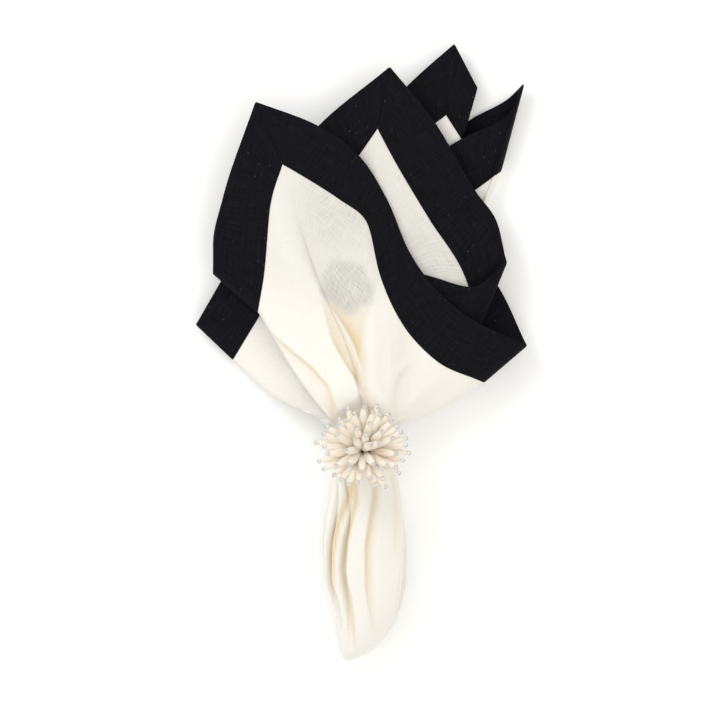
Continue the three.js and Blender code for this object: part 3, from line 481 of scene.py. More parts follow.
# The folds that stand up in the front and run down to the ring, placed one by one. rise: how high
# one
# stands. left and right: how far its two sides spread in the view, below 0 where a side ends in a
# crisp line. shade: how warm the shadow beside it is. end: 1 where it runs on into the ring.
# downs and across: the pixels that its crest passes.
FrontFold = namedtuple("FrontFold", "rise left right shade end downs across")
FRONT_FOLDS = [FrontFold(*row) for row in [
    (3.4, 15, 8.5, 0.0, 0, (222, 240, 262, 284, 303, 330), (268, 283, 299, 313, 325, 344)),
    (1.9, 5, -1.6, 0.8, 0, (290, 319, 346, 365, 386), (317, 338, 353.5, 359, 360)),
    (3.2, 13, -1.6, 0.6, 1, (300, 340, 359, 381, 403, 430), (320, 331.5, 341.5, 354.5, 364.5, 370)),
    (4.4, -10, 13, 0.0, 1, (268, 307, 336, 374, 388, 430), (398, 388, 380, 373.5, 373.5, 381)),
    (3.4, -2.6, 9, 0.8, 1, (316, 335, 352.5, 368.6, 380.6, 387, 401, 430),
     (259, 276, 296, 315, 325.7, 331, 335, 344)),
    (1.5, 9, -2.4, 0.15, 1, (350, 368, 378, 401, 430), (422, 404.5, 396, 391, 389)),
    (1.0, 4, 6, 0.0, 1, (372, 392, 410, 430), (446, 424, 408, 399)),
]]
# Where a fold has reached its height and starts to lose it, as shares of its length
FOLD_RISEN, FOLD_SINKS = 0.35, 0.75
# Where the folds go under the burst, and over how many pixels they fade there
FRONT_ENDS, FRONT_FADE = 434, 24
CREASE_SHADE_REACH = 5
# How warm the shade is down the valley in the middle of the front, and in the band beside it
VALLEY_DOWNS, VALLEY_SHADES, VALLEY_ENDS = (292, 325, 370, 392), (0, 0.55, 1, 0.6), 400
BAND_STARTS, BAND_ENDS, BAND_SHADE = 300, 386, 0.4


def inside_of(across, left, right, edge=2):
    """1 between two lines of the view and 0 outside them, with edges of so many pixels."""
    return np.clip((across - left) / edge, 0, 1) * np.clip((right - across) / edge, 0, 1)


def raise_front(grid, shade, own):
    """The folds of the front, each with a soft side and a steep one, and the shade beside them."""
    across, down = in_view(grid)
    for fold in FRONT_FOLDS:
        first, last = fold.downs[0], fold.downs[-1]
        crest = along(fold.downs, fold.across, np.clip(down, first, last).ravel())
        aside = grid[..., 0] - x_at(crest.reshape(down.shape))
        share = (down - first) / (last - first)
        fade = np.interp(share, (0, FOLD_RISEN, FOLD_SINKS, 1), (0, 1, 1, fold.end))
        fade *= (share <= 1) * own[:, None] * np.clip((FRONT_ENDS - down) / FRONT_FADE, 0, 1)
        spread = np.where(aside < 0, fold.left, fold.right)
        soft_side = np.exp(-((aside / spread) ** 2))
        crisp_side = np.clip(1 - (aside / spread) ** 2, 0, 1)
        grid[..., 2] += fold.rise * fade * np.where(spread < 0, crisp_side, soft_side)
        beyond = np.where(spread < 0, abs(aside), 0)
        dark_side = np.clip(beyond, 0, 1) * np.exp(-((beyond / CREASE_SHADE_REACH) ** 2))
        shade += fold.shade * fade * dark_side
    # The valley lies between the second fold's crest and the foot of the fourth, the right flank,
    # and the band between the crests of the second fold and the third
    second, third, fourth = (np.interp(down, fold.downs, fold.across) for fold in FRONT_FOLDS[1:4])
    foot = fourth + FRONT_FOLDS[3].left * VIEW_SCALE
    valley = inside_of(across, second, foot) * np.interp(down, VALLEY_DOWNS, VALLEY_SHADES)
    shade += valley * (down < VALLEY_ENDS) * own[:, None]
    band = inside_of(across, third, second) * (down > BAND_STARTS) * (down < BAND_ENDS)
    shade += BAND_SHADE * band * own[:, None]


# The small pleats round the tail: how many would go round it, how deep they are, and where they
# start, in degrees from the middle of the front, and over how many they deepen
TAIL_PLEATS, TAIL_PLEAT_DEPTH = 36, 1.6
TAIL_PLEATS_START, TAIL_PLEATS_FADE = 62, 30


def gather_tail(grid, turns):
    """Small lengthwise pleats round the back of the tail, where the spare cloth goes."""
    down = in_view(grid)[1]
    names = ("left", "right", "low", "high", "layered", "gather")
    left, right, low, high, layered, gather = tail_at(down, *names)
    from_front = abs((turns - 90 + 180) % 360 - 180)
    hidden = np.clip((from_front - TAIL_PLEATS_START) / TAIL_PLEATS_FADE, 0, 1)
    wave = 0.5 - 0.5 * np.cos(np.radians(turns) * TAIL_PLEATS)
    inward = TAIL_PLEAT_DEPTH * gather * (1 - layered) * (wave * hidden)[:, None]
    inward = np.where(down < TAIL[0][0], 0, inward)
    grid[..., 0] -= (grid[..., 0] - x_at((left + right) / 2)) * inward
    grid[..., 2] -= (grid[..., 2] - (low + high) / 2) * inward


# The gathers of the fan: how many would go round the ring, how steep they are, and how far from the
# ring's middle they start, are whole, begin to fade and end
FAN_GATHERS, FAN_STEEPNESS = 60, 1.9
FAN_REACH = (12, 22, 70, 125)


def gather_fan(grid, shown):
    """Gathers that run out from the ring through the layers above it, least in those that show."""
    x, y = grid[..., 0] - RING_X, grid[..., 1] - RING_Y
    reach = np.hypot(x, y)
    height = reach / FAN_GATHERS * FAN_STEEPNESS * np.interp(reach, FAN_REACH, (0, 1, 1, 0))
    ripple = np.sin(FAN_GATHERS * np.arctan2(y, x))
    grid[..., 2] += np.where(y > 0, height, 0) * (2 * shown + (1 - shown) * (1 + ripple))


SETTLING_PASSES = 3
ribs = make_ribs()
places = column_places(ribs)
rib_points = np.array([rib_rows(rib) for rib in ribs])
# Corners are round at the neck and sharp at the hem
to_seam = (np.arange(SEAM_ROW + 1) - (SEAM_ROW - ROWS_BETWEEN[-1])) / ROWS_BETWEEN[-1]
crisp = np.clip(to_seam, 0, 1) ** 1.5
cloth_rows = [row_around(ribs, rib_points[:, j], crisp[j], places) for j in range(SEAM_ROW + 1)]
cloth_rows.append(row_around(ribs, np.array([rib.points["edge"] for rib in ribs]), 1, places))
cloth = np.stack(cloth_rows, axis=1)
turns = np.interp(places, [rib.at for rib in ribs] + [HEM_LENGTH],
                  [rib.turn for rib in ribs] + [ribs[0].turn + 360])
fold_at = {rib.name: rib.at for rib in ribs if rib.edge_of_fold}
shade = np.zeros(cloth.shape[:2])
gather_tail(cloth, turns)
press_tail(cloth, shade)
for _ in range(SETTLING_PASSES):
    settle_layers(cloth, places, fold_at)
on_front = (places > fold_at["foldFrontRight"]) | (places < fold_at["foldFrontLeft"])
on_second = (places > fold_at["foldCurl"]) & (places < fold_at["foldLowLeft"])
SECOND_SHOWN = 0.85
gather_fan(cloth, np.where(on_front, 1.0, np.where(on_second, SECOND_SHOWN, 0.0))[:, None])
raise_front(cloth, shade, on_front)
# How far from the flat cloth's middle the ring goes round it
MIDDLE_TO_RING = 125


def flat_places(count_rows):
    """Where each point of the grid lies on the flat square, in mm, for the weave to follow."""
    corners = np.array([(0, 0), (SIDE, 0), (SIDE, SIDE), (0, SIDE), (0, 0)], float)
    side = np.minimum((places // SIDE).astype(int), 3)
    outward = mix(corners[side], corners[side + 1], (places / SIDE - side)[:, None]) - SIDE / 2
    step = np.linalg.norm(np.diff(cloth, axis=1), axis=-1).mean(axis=0)
    reached = np.concatenate([[0], np.cumsum(step)])[:count_rows]
    to_ring = reached[RING_ROW]
    in_tail = reached / to_ring * MIDDLE_TO_RING
    share = np.clip((reached - to_ring) / (reached[SEAM_ROW] - to_ring), 0, 2)
    radius = np.linalg.norm(outward, axis=1)[:, None]
    seam = radius * (SIDE / 2 - BORDER) / (SIDE / 2)
    above_ring = mix(MIDDLE_TO_RING, seam, share[None])
    from_middle = np.where(np.arange(count_rows) <= RING_ROW, in_tail[None], above_ring)
    return SIDE / 2 + outward[:, None] / radius[..., None] * from_middle[..., None]


def cells_of(number):
    """The four-sided faces between the points of a grid, which holds their numbers."""
    corners = (number[:-1, :-1], number[:-1, 1:], number[1:, 1:], number[1:, :-1])
    return np.stack(corners, -1).reshape(-1, 4)


def put_in_scene(name, data):
    piece = bpy.data.objects.new(name, data)
    bpy.context.scene.collection.objects.link(piece)
    return piece


def cloth_mesh(name, points, faces, flat, marks):
    """A mesh in metres from points in mm, with its flat places as UV and marks as attributes."""
    mesh = bpy.data.meshes.new(name)
    mesh.from_pydata((points / 1000).tolist(), [], faces)
    corner = np.empty(len(mesh.loops), np.int32)
    mesh.loops.foreach_get("vertex_index", corner)
    weave = mesh.uv_layers.new(name="weave")
    weave.data.foreach_set("uv", (flat[corner] / 1000).astype(np.float32).ravel())
    for mark, values in marks.items():
        marked = mesh.attributes.new(mark, "FLOAT", "POINT").data
        marked.foreach_set("value", values.astype(np.float32))
    mesh.polygons.foreach_set("use_smooth", np.ones(len(mesh.polygons), bool))
    mesh.validate()
    return put_in_scene(name, mesh)


# The ground goes a little way into the border, as a share of the border's width
SEWN_IN = 0.05
columns = len(places)
sewn_in = mix(cloth[:, SEAM_ROW], cloth[:, SEAM_ROW + 1], SEWN_IN)
linen_points = np.concatenate([cloth[:, :SEAM_ROW + 1], sewn_in[:, None]], axis=1)
rows = linen_points.shape[1]
# The tail's tip is one point: the first row is left out of the grid, and the tip added at the end
tip = columns * (rows - 1)
number = np.arange(tip).reshape(columns, rows - 1)
round_the_hem = np.concatenate([number, number[:1]])
quads = cells_of(round_the_hem)
tips = np.stack([np.full(columns, tip), round_the_hem[:-1, 0], round_the_hem[1:, 0]], -1)
flat = flat_places(rows)
all_points = np.concatenate([linen_points[:, 1:].reshape(-1, 3), linen_points[:1, 0]])
all_flat = np.concatenate([flat[:, 1:].reshape(-1, 2), flat[:1, 0]])


def soft(values, start, end):
    t = np.clip((values - start) / (end - start), 0, 1)
    return t * t * (3 - 2 * t)


view_across, view_down = in_view(all_points)
panel_front = np.append(np.repeat(on_front, rows - 1), False)
panel_second = np.append(np.repeat(on_second, rows - 1), False)
# Painted shade where the dark border behind shows through the front and the two touch, in a round
# place whose edge wavers: how many waves go round it, how far each reaches, and where it starts
PATCH_ACROSS, PATCH_DOWN, PATCH_RADIUS, PATCH_SHADE = 347, 285, 32, 0.93
PATCH_FADE, PATCH_FLATTER = 13, 0.88
PATCH_WAVES = ((2, 2, 0.6), (5, 1.3, 0), (9, 0.9, 2))
aside, below_it = view_across - PATCH_ACROSS, view_down - PATCH_DOWN
bearing = np.arctan2(below_it, aside)
waver = sum(reach * np.sin(count * bearing + start) for count, reach, start in PATCH_WAVES)
from_edge = PATCH_RADIUS + waver - np.hypot(aside, PATCH_FLATTER * below_it)
patch = PATCH_SHADE * soft(from_edge, 0, PATCH_FADE)
# Painted shade: the front is greyer the further it is above the ring, most on its right, for the
# dark layers behind showing through and for the shade on the left ridge's side away from the light
FRONT_SHADE, FRONT_LEAST = 0.78, 0.3
rightward = mix(FRONT_LEAST, 1, soft(view_across, 268, 335))
above = FRONT_SHADE * soft(-view_down, -345, -200) * rightward
# Painted shade on the second layer: grey all over above its end and greyer towards its lower end,
# with a painted shadow beside the front's left fold
SECOND_SHADE, SECOND_LOW_SHADE, FOLD_SHADOW, SHADOW_REACH = 0.44, 0.74, 0.5, 20
second = mix(SECOND_SHADE, SECOND_LOW_SHADE, soft(view_down, 200, 270))
second *= soft(-view_down, -310, -300)
fold_edge = np.interp(view_down, (312, 340, 364, 390, 406), (259, 272, 289, 308, 323))
beside_fold = np.exp(-(((view_across - fold_edge) / SHADOW_REACH) ** 2)) * (view_down < 420)
second += FOLD_SHADOW * soft(view_down, 305, 315) * beside_fold
# The through mark is all painted shade: the see-through grey, the front's greying and the painted
# shadows
through = np.maximum(patch, above) * panel_front + second * panel_second
DEEPEST_SHADE = 1.2
shade = np.minimum(np.append(shade[:, 1:rows].ravel(), 0), DEEPEST_SHADE)
linen = cloth_mesh("white_linen_ground", all_points, quads.tolist() + tips.tolist(), all_flat,
                   {"through": through, "shade": shade})


class Tone:
    """A value in a finish, with plain arithmetic."""

    def __init__(self, finish, socket):
        self.finish, self.socket = finish, socket

    def work(self, kind, *others):
        values = dict(enumerate((self, *others)))
        return self.finish.node("ShaderNodeMath", {"operation": kind}, values)

    def __add__(self, other):
        return self.work("ADD", other)

    def __sub__(self, other):
        return self.work("SUBTRACT", other)

    def __mul__(self, other):
        return self.work("MULTIPLY", other)

    def __rsub__(self, other):
        return self.work("MULTIPLY", -1.0).work("ADD", other)

    def __pow__(self, other):
        return self.work("POWER", other)

    __radd__, __rmul__ = __add__, __mul__

    def between(self, low, high):
        """0 below low, 1 above high."""
        kept = {"Value": self, "From Min": low, "From Max": high}
        return self.finish.node("ShaderNodeMapRange", {"interpolation_type": "SMOOTHSTEP"}, kept)


class Finish:
    """A material and its shader."""

    def __init__(self, name, **sockets):
        self.material = bpy.data.materials.new(name)
        self.material.use_nodes = True
        self.tree = self.material.node_tree
        self.shader = self.tree.nodes["Principled BSDF"]
        self.set(self.shader, {key.replace("_", " "): value for key, value in sockets.items()})

    def set(self, node, values):
        for key, value in values.items():
            if isinstance(value, Tone):
                self.tree.links.new(value.socket, node.inputs[key])
            else:
                node.inputs[key].default_value = value

    def node(self, kind, settings, values, out=0):
        made = self.tree.nodes.new(kind)
        for key, value in settings.items():
            setattr(made, key, value)
        self.set(made, values)
        return Tone(self, made.outputs[out])

    def blend(self, share, first, second):
        values = {0: share, 6: first, 7: second}
        return self.node("ShaderNodeMix", {"data_type": "RGBA"}, values, 2)

    def stretched_noise(self, place, scale, roughness=0.5, detail=2.0):
        moved = self.node("ShaderNodeMapping", {}, {"Vector": place, "Scale": scale})
        return self.node("ShaderNodeTexNoise", {}, {"Vector": moved, "Scale": 1.0, "Detail": detail,
                                                   "Roughness": roughness})

    def on_object(self):
        """Places on the piece itself, in metres."""
        return self.node("ShaderNodeTexCoord", {}, {}, 3)

    def part_of(self, place, k):
        return self.node("ShaderNodeSeparateXYZ", {}, {"Vector": place}, k)

    def surface(self, base, height, strength, depth):
        """The finish's colour, and its relief, whose depth is in metres."""
        relief = {"Strength": strength, "Distance": depth, "Height": height}
        normal = self.node("ShaderNodeBump", {}, relief)
        self.set(self.shader, {"Base Color": base, "Normal": normal})

    def two_tone(self, share, first, second):
        self.set(self.shader, {"Base Color": self.blend(share, first, second)})

    def give(self, *pieces):
        for piece in pieces:
            piece.data.materials.clear()
            piece.data.materials.append(self.material)


# The metres from one thread to the next but one, and how many slubs a metre has across the threads
# and along them
WEAVE_PITCH = 0.0011
SLUBS_ACROSS, SLUBS_ALONG = 1300, 70


def weave_of(finish):
    """Plain weave on the flat cloth: its height, and the slubs, the thicker runs of its threads."""
    place = finish.node("ShaderNodeUVMap", {"uv_map": "weave"}, {})
    over = [(finish.part_of(place, k) * (2 * math.pi / WEAVE_PITCH)).work("SINE") for k in (0, 1)]
    warp = finish.stretched_noise(place, (SLUBS_ACROSS, SLUBS_ALONG, 1))
    weft = finish.stretched_noise(place, (SLUBS_ALONG, SLUBS_ACROSS, 1))
    return place, over[0] * over[1], (warp + weft) * 0.5


WHITE_LINEN, WHITE_THICK_THREAD = (0.888, 0.868, 0.822, 1), (0.85, 0.82, 0.762, 1)
WARM_SHADE, WARM_SHADE_MOST = (0.775, 0.65, 0.44, 1), 0.85
SEEN_THROUGH_SHADE = (0.41, 0.405, 0.39, 1)
white = Finish("white linen", Roughness=0.9, Specular_IOR_Level=0.15, Sheen_Weight=0.05,
               Sheen_Roughness=0.6)
place, threads, slubs = weave_of(white)
through_shade, shaded = (white.node("ShaderNodeAttribute", {"attribute_name": mark}, {}, 2)
                 for mark in ("through", "shade"))
cloudy = white.stretched_noise(place, (9, 9, 1), detail=3.0)
thick = slubs.between(0.40, 0.62)
base = white.blend(thick * 0.4 + cloudy * 0.25, WHITE_LINEN, WHITE_THICK_THREAD)
base = white.blend(shaded * WARM_SHADE_MOST, base, WARM_SHADE)
# Painted shade: where something dark shows through, and in the painted shadows beside the folds, it
# shows most between the thicker threads
dark = through_shade * 0.55 + (through_shade ** 2.0) * (slubs - 0.5) * 2.1
base = white.blend(dark, base, SEEN_THROUGH_SHADE)
height = threads * 0.25 + slubs * 1.2
white.surface(base, height, strength=0.3, depth=0.0004)
white.give(linen)
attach(linen, "root")
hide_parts("linen_ground")

# The border. Four strips of black linen 31.5 mm wide, folded double and sewn over the hem of the
# ground, each mitred at both ends so that they meet in a slanting seam at every corner.
STRIP_THICKNESS = 1.1
# Half the gap of the mitre seam, the share of a column that its groove takes, how thick a strip is
# there, and how much of the way to the sharp tip of the corner the strips reach
MITRE_GAP, MITRE_GROOVE, MITRE_THICKNESS, BLUNT_TIP = 0.02, 0.16, 0.4, 0.978
# The rows across a strip, from its seam to its edge, and how thick it is at each
STRIP_ROWS = (0, 0.02, 0.06, 0.2, 0.4, 0.6, 0.8, 0.94, 0.98, 1)
STRIP_FULL = (0.55, 0.95, 1, 1, 1, 1, 1, 1.05, 0.9, 0.35)
SIDES = ("ab", "bc", "cd", "da")
ENDS = ((0, 1), (-1, -2))


def strip_mesh(side):
    """One strip of the border, between two corners: front, back, both edges and both ends."""
    first = int(np.argmin(abs(places - side * SIDE)))
    last = int(np.argmin(abs(places - (side + 1) * SIDE))) if side < 3 else columns
    own = np.arange(first, last + 1) % columns
    seam, edge = cloth[own, SEAM_ROW], cloth[own, SEAM_ROW + 1]
    middle = np.stack([mix(seam, edge, share) for share in STRIP_ROWS], axis=1)
    for end, inner in ENDS:
        away = middle[inner] - middle[end]
        middle[end] += away / np.linalg.norm(away, axis=-1, keepdims=True) * MITRE_GAP
    by_mitre = [mix(middle[end], middle[inner], MITRE_GROOVE)[None] for end, inner in ENDS]
    for end, _ in ENDS:
        middle[end] = mix(middle[end, :1], middle[end], BLUNT_TIP)
    middle = np.concatenate([middle[:1], by_mitre[0], middle[1:-1], by_mitre[1], middle[-1:]])
    facing = np.cross(np.gradient(middle, axis=1), np.gradient(middle, axis=0))
    facing /= np.linalg.norm(facing, axis=-1, keepdims=True)
    thickness = np.array(STRIP_FULL)[None, :, None]
    half = STRIP_THICKNESS / 2 * np.repeat(thickness, len(middle), axis=0)
    half[[0, -1]] *= MITRE_THICKNESS
    sheets = np.stack([middle + facing * half, middle - facing * half])
    steps = np.linalg.norm(np.diff(middle[:, -1], axis=0), axis=1)
    run = np.concatenate([[0], np.cumsum(steps)])[:, None]
    flat_place = np.stack(np.broadcast_arrays(run, np.array(STRIP_ROWS)[None] * BORDER), -1)
    front, back = np.arange(2 * middle.size // 3).reshape(2, len(middle), len(STRIP_ROWS))
    faces = [cells_of(front), cells_of(back)[:, [0, 3, 2, 1]]]
    faces += [cells_of(np.stack(sides, axis)) for axis, sides in (
        (1, (front[:, -1], back[:, -1])), (1, (back[:, 0], front[:, 0])),
        (0, (back[0], front[0])), (0, (front[-1], back[-1])))]
    flat_both = np.concatenate([flat_place.reshape(-1, 2)] * 2)
    return cloth_mesh("black_border_" + SIDES[side], sheets.reshape(-1, 3),
                      np.concatenate(faces).tolist(), flat_both, {})


strips = [strip_mesh(side) for side in range(4)]
BLACK_LINEN, WORN_THREAD = (0.0035, 0.0034, 0.005, 1), (0.0105, 0.0102, 0.014, 1)
LINT, LINT_MOST = (0.2, 0.2, 0.21, 1), 0.2
# Where the stitched seam and the pressed edge run across the strip, in metres from its inner side
SEAM_LINE, EDGE_LINE = 0.0016, 0.0292
black = Finish("black linen", Roughness=0.9, Specular_IOR_Level=0.08, Sheen_Weight=0.02,
               Sheen_Roughness=0.5, Sheen_Tint=(0.75, 0.78, 1.0, 1))
place, threads, slubs = weave_of(black)
worn = slubs.between(0.38, 0.68) * 0.8 + threads.between(-1.0, 1.0) * 0.25
lint = black.stretched_noise(place, (420, 420, 1), detail=1.0).between(0.735, 0.77)
base = black.blend(worn, BLACK_LINEN, WORN_THREAD)
base = black.blend(lint * LINT_MOST, base, LINT)
across_strip = black.part_of(place, 1)
seam_line = 1.0 - (across_strip - SEAM_LINE).work("ABSOLUTE").between(0.0002, 0.0007)
edge_line = 1.0 - (across_strip - EDGE_LINE).work("ABSOLUTE").between(0.0002, 0.0008)
height = threads * 0.25 + slubs * 1.3 - seam_line * 0.9 - edge_line * 0.5
black.surface(base, height, strength=0.5, depth=0.0005)
black.give(*strips)
for strip, side in zip(strips, SIDES):
    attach(strip, "root")
    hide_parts("border_" + side)

# The ring. A plain round band of silver-coloured metal 16 mm wide, rolled from strip and polished,
# through which the cloth is drawn. Its own solid has its true shape, so it only gets its metal.
BRIGHT_SILVER, DULL_SILVER = (0.72, 0.71, 0.68, 1), (0.60, 0.59, 0.57, 1)
silver = Finish("satin silver", Metallic=1.0)
drawn = silver.stretched_noise(silver.on_object(), (60, 900, 60))
silver.two_tone(drawn, BRIGHT_SILVER, DULL_SILVER)
silver.set(silver.shader, {"Roughness": 0.22 + drawn * 0.16})
silver.give(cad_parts["ring_band"])

# The burst. Long tapered ivory beads stand out all round a small brown felt pad that is fixed on
# the band, each threaded on a pin that ends in a small clear cut bead. They are of one length, so
# they fill a dome.
BURST_X, BURST_Y = 0.8, -57.3
# How far the pins reach from the root that they share, and its height above the table
BEAD_REACH = 30.2
BEAD_ROOT = 44.5
BEAD_SIDES, PAD_SIDES = 12, 40
CRYSTAL = 1.5
# Turned profiles, as heights and radii: a bead's from the root, and the pad's from the table
BEAD_PROFILE = [(3, 0.8), (5, 1.3), (9, 2), (14.5, 2.5), (20, 2.45), (24, 1.95), (26.6, 1.3),
                (28, 0.75)]
PAD_PROFILE = [(41.55, 8.6), (42.2, 9.3), (43.4, 9.4), (45.2, 8.6), (46.8, 6.6), (48, 3.6),
               (48.4, 0.6)]
# The lowest beads still rise a little, as a share of their reach, in steps that part them
LEAST_RISE, RISE_STEP = 0.1, 1.5
# Each bead is turned on its pin by this much more than the one before, in radians
TURN_STEP = 2.4
# Where the tips are seen from above, in the view's pixels across and down
TIPS = [
    (346.8, 406), (363.3, 404.7), (373.7, 410), (377.8, 404), (381, 413), (389.8, 413), (346, 419),
    (337, 417.4), (337.5, 424), (356.5, 428), (370, 422), (366, 434), (383, 430.5), (354.8, 439),
    (370, 444), (379.7, 442), (394, 437.6), (408, 437.6), (335, 434), (325, 426), (321.4, 433),
    (314, 442), (322.4, 446), (326, 454), (317, 461.5), (322, 470), (335, 467), (348, 465),
    (332.6, 476), (340, 481), (348, 486), (358, 484), (370, 480), (376, 486.5), (386.4, 488.7),
    (383.8, 480), (388.6, 466.7), (398, 468), (401, 474), (398, 454), (405, 461), (411, 453),
    (408, 445), (399, 426), (403, 431), (393, 420), (353, 411), (362, 472), (374, 465), (345, 451),
]


def mm(*values):
    return [value / 1000 for value in values]


def select_only(*pieces):
    """These pieces alone are selected, and the first of them is the active one."""
    bpy.ops.object.select_all(action="DESELECT")
    for piece in reversed(pieces):
        piece.select_set(True)
        bpy.context.view_layer.objects.active = piece


def apply_place():
    bpy.ops.object.transform_apply(location=True, rotation=True, scale=True)


def lathe_up(rings, sides):
    """A closed turned form up the Z axis in edit mode: each row is its height and radius in mm."""
    (height, radius), *others = rings
    select_only()
    bpy.ops.mesh.primitive_circle_add(vertices=sides, radius=radius / 1000, fill_type="NGON",
                                      location=mm(0, 0, height))
    apply_place()
    bpy.ops.object.mode_set(mode="EDIT")
    bpy.ops.mesh.select_all(action="SELECT")
    for next_height, next_radius in others:
        step = (next_height - height) / 1000
        bpy.ops.mesh.extrude_region_move(TRANSFORM_OT_translate={"value": (0, 0, step)})
        scale = next_radius / radius
        bpy.ops.transform.resize(value=(scale, scale, 1), center_override=mm(0, 0, next_height))
        height, radius = next_height, next_radius
    bpy.ops.mesh.select_all(action="SELECT")
    bpy.ops.mesh.normals_make_consistent(inside=False)
    bpy.ops.object.mode_set(mode="OBJECT")
    bpy.ops.object.shade_smooth_by_angle(angle=math.radians(50))
    return bpy.context.object


def copies_at(model, stands, name):
    """Copies of a piece on the Z axis, each turned and moved to its own stand, as one piece."""
    made = []
    for root, direction, turn in stands:
        select_only(model)
        bpy.ops.object.duplicate()
        copy = bpy.context.object
        copy.rotation_mode = "QUATERNION"
        aim = mathutils.Vector(direction).to_track_quat("Z", "Y")
        copy.rotation_quaternion = aim @ mathutils.Quaternion((0, 0, 1), turn)
        copy.location = mm(*root)
        apply_place()
        made.append(copy)
    select_only(*made)
    bpy.ops.object.join()
    made[0].name = made[0].data.name = name
    bpy.data.objects.remove(model)
    return made[0]


bead = lathe_up(BEAD_PROFILE, BEAD_SIDES)
bead.name = "bead"
# Its map runs once round it and up its length, for the grain
turned = bead.data.uv_layers[0]
turned.name = "turned"
for face in bead.data.polygons:
    corners = [bead.data.vertices[bead.data.loops[k].vertex_index].co for k in face.loop_indices]
    angles = [math.atan2(c.y, c.x) / (2 * math.pi) % 1 for c in corners]
    if max(angles) - min(angles) > 0.5:
        angles = [a + 1 if a < 0.5 else a for a in angles]
    for k, angle, c in zip(face.loop_indices, angles, corners):
        turned.data[k].uv = (angle, c.z * 1000 / BEAD_REACH)
select_only()
bpy.ops.mesh.primitive_ico_sphere_add(subdivisions=2, radius=CRYSTAL / 1000,
                                      location=mm(0, 0, BEAD_REACH - CRYSTAL))
crystal = bpy.context.object
apply_place()
bpy.ops.object.shade_flat()
stands = []
for k, (tip_across, tip_down) in enumerate(TIPS):
    seen = spot((tip_across, tip_down, 0))[:2] - (BURST_X, BURST_Y)
    least = LEAST_RISE * BEAD_REACH + RISE_STEP * (k % 3)
    rise = math.sqrt(max(BEAD_REACH**2 - float(np.hypot(*seen)) ** 2, least**2))
    stands.append(((BURST_X, BURST_Y, BEAD_ROOT), (seen[0], seen[1], rise), TURN_STEP * k))
beads = copies_at(bead, stands, "ivory_beads")
crystals = copies_at(crystal, stands, "clear_tips")

pad = lathe_up(PAD_PROFILE, PAD_SIDES)
pad.name = pad.data.name = "burst_pad"
pad.location = mm(BURST_X, BURST_Y, 0)
apply_place()

PALE_IVORY, IVORY_GRAIN = (0.965, 0.915, 0.835, 1), (0.91, 0.825, 0.71, 1)
PINK_IVORY, BROWN_ROOT_SHADE = (0.93, 0.77, 0.70, 1), (0.50, 0.32, 0.18, 1)
ivory = Finish("ivory bead", Roughness=0.42, Coat_Weight=0.12, Coat_Roughness=0.3,
               Subsurface_Weight=0.12, Subsurface_Scale=0.002, Subsurface_Radius=(1.0, 0.6, 0.4))
place = ivory.node("ShaderNodeUVMap", {"uv_map": "turned"}, {})
lengthwise = ivory.stretched_noise(place, (26, 2.2, 1), roughness=0.6, detail=3.0)
up_bead = ivory.part_of(place, 1)
pinkish = ivory.stretched_noise(ivory.on_object(), (55, 55, 55))
base = ivory.blend(lengthwise.between(0.35, 0.7), PALE_IVORY, IVORY_GRAIN)
base = ivory.blend(pinkish.between(0.5, 0.75) * 0.3, base, PINK_IVORY)
# Painted shade: each bead darkens to brown towards its root, where the beads crowd together over
# the pad
base = ivory.blend(1.0 - up_bead.between(0.08, 0.4), base, BROWN_ROOT_SHADE)
ivory.surface(base, lengthwise, strength=0.3, depth=0.0004)
ivory.give(beads)
clear = Finish("clear cut bead", Base_Color=(0.96, 0.97, 1.0, 1), Roughness=0.04, IOR=1.55,
               Transmission_Weight=0.85)
clear.give(crystals)
DARK_FELT, LIGHT_FELT = (0.12, 0.07, 0.04, 1), (0.26, 0.17, 0.11, 1)
felt = Finish("pad", Roughness=0.95)
fibres = felt.stretched_noise(felt.on_object(), (700, 700, 700))
felt.two_tone(fibres, DARK_FELT, LIGHT_FELT)
felt.give(pad)
for piece in (beads, crystals, pad):
    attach(piece, "root")
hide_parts("bead_flower")

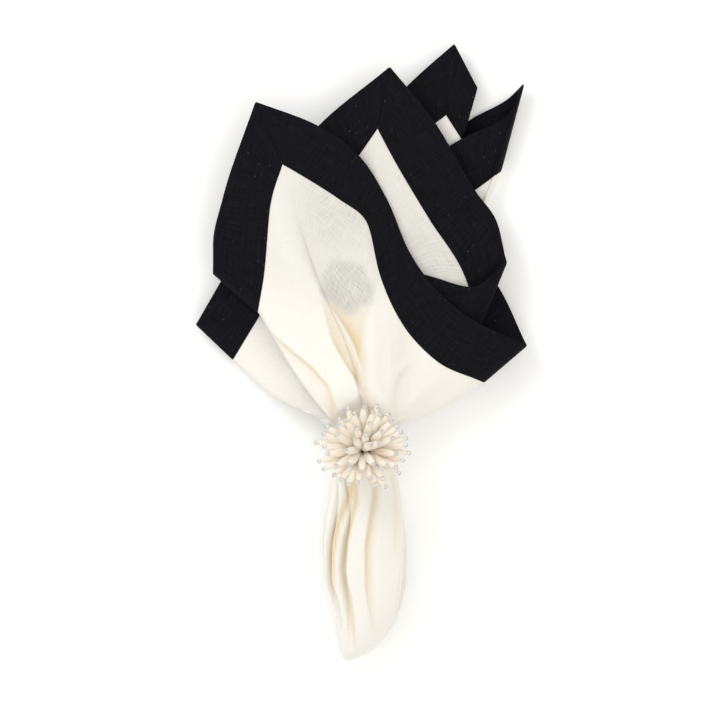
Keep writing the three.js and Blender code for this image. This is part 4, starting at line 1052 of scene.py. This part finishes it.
# The table: a plain pale surface just under the napkin, with soft light from above and from one
# side, seen from straight above as in the photograph. Here sizes are in metres.
TABLE_TOP = -0.0004
PALE_TABLE, PALE_TABLE_CLOUD = (0.95, 0.95, 0.95, 1), (0.93, 0.93, 0.93, 1)
ROOM_LIGHT, ROOM_STRENGTH = (1.0, 0.975, 0.92, 1), 0.86
LAMP_COLOUR = (0.93, 0.965, 1.0)
LAMPS = [
    # name, power, size, place
    ("window", 6.3, 0.7, (-0.75, 0.8, 1.1)),
    ("overhead", 6, 1.6, (0.5, -0.5, 1.8)),
]
VIEW_SIZE, EYE_HEIGHT = 720, 1.5
select_only()
bpy.ops.mesh.primitive_plane_add(size=6, location=(0, 0, TABLE_TOP))
table = bpy.context.object
table.name = "table"
apply_place()
pale = Finish("pale table", Roughness=0.9, Specular_IOR_Level=0.1, Emission_Color=(1, 1, 1, 1),
              Emission_Strength=0.14)
clouds = pale.stretched_noise(pale.on_object(), (3, 3, 3))
pale.two_tone(clouds, PALE_TABLE, PALE_TABLE_CLOUD)
pale.give(table)
world = bpy.context.scene.world or bpy.data.worlds.new("studio")
bpy.context.scene.world = world
world.use_nodes = True
room = world.node_tree.nodes["Background"].inputs
room["Color"].default_value, room["Strength"].default_value = ROOM_LIGHT, ROOM_STRENGTH
for name, power, size, place_at in LAMPS:
    light = bpy.data.lights.new(name, "AREA")
    light.color = LAMP_COLOUR
    light.energy, light.size = power, size
    lamp = put_in_scene(name, light)
    lamp.location = place_at
    lamp.rotation_euler = (-mathutils.Vector(place_at)).to_track_quat("-Z", "Y").to_euler()
lens = bpy.data.cameras.new("camera")
lens.type = "ORTHO"
lens.ortho_scale = VIEW_SIZE / 1000 / VIEW_SCALE
eye = put_in_scene("camera", lens)
view_middle = spot((VIEW_SIZE / 2, VIEW_SIZE / 2, 0)) / 1000
eye.location = (view_middle[0], view_middle[1], EYE_HEIGHT)
bpy.context.scene.camera = eye
bpy.context.scene.view_settings.view_transform = "Standard"

bpy.context.view_layer.update()
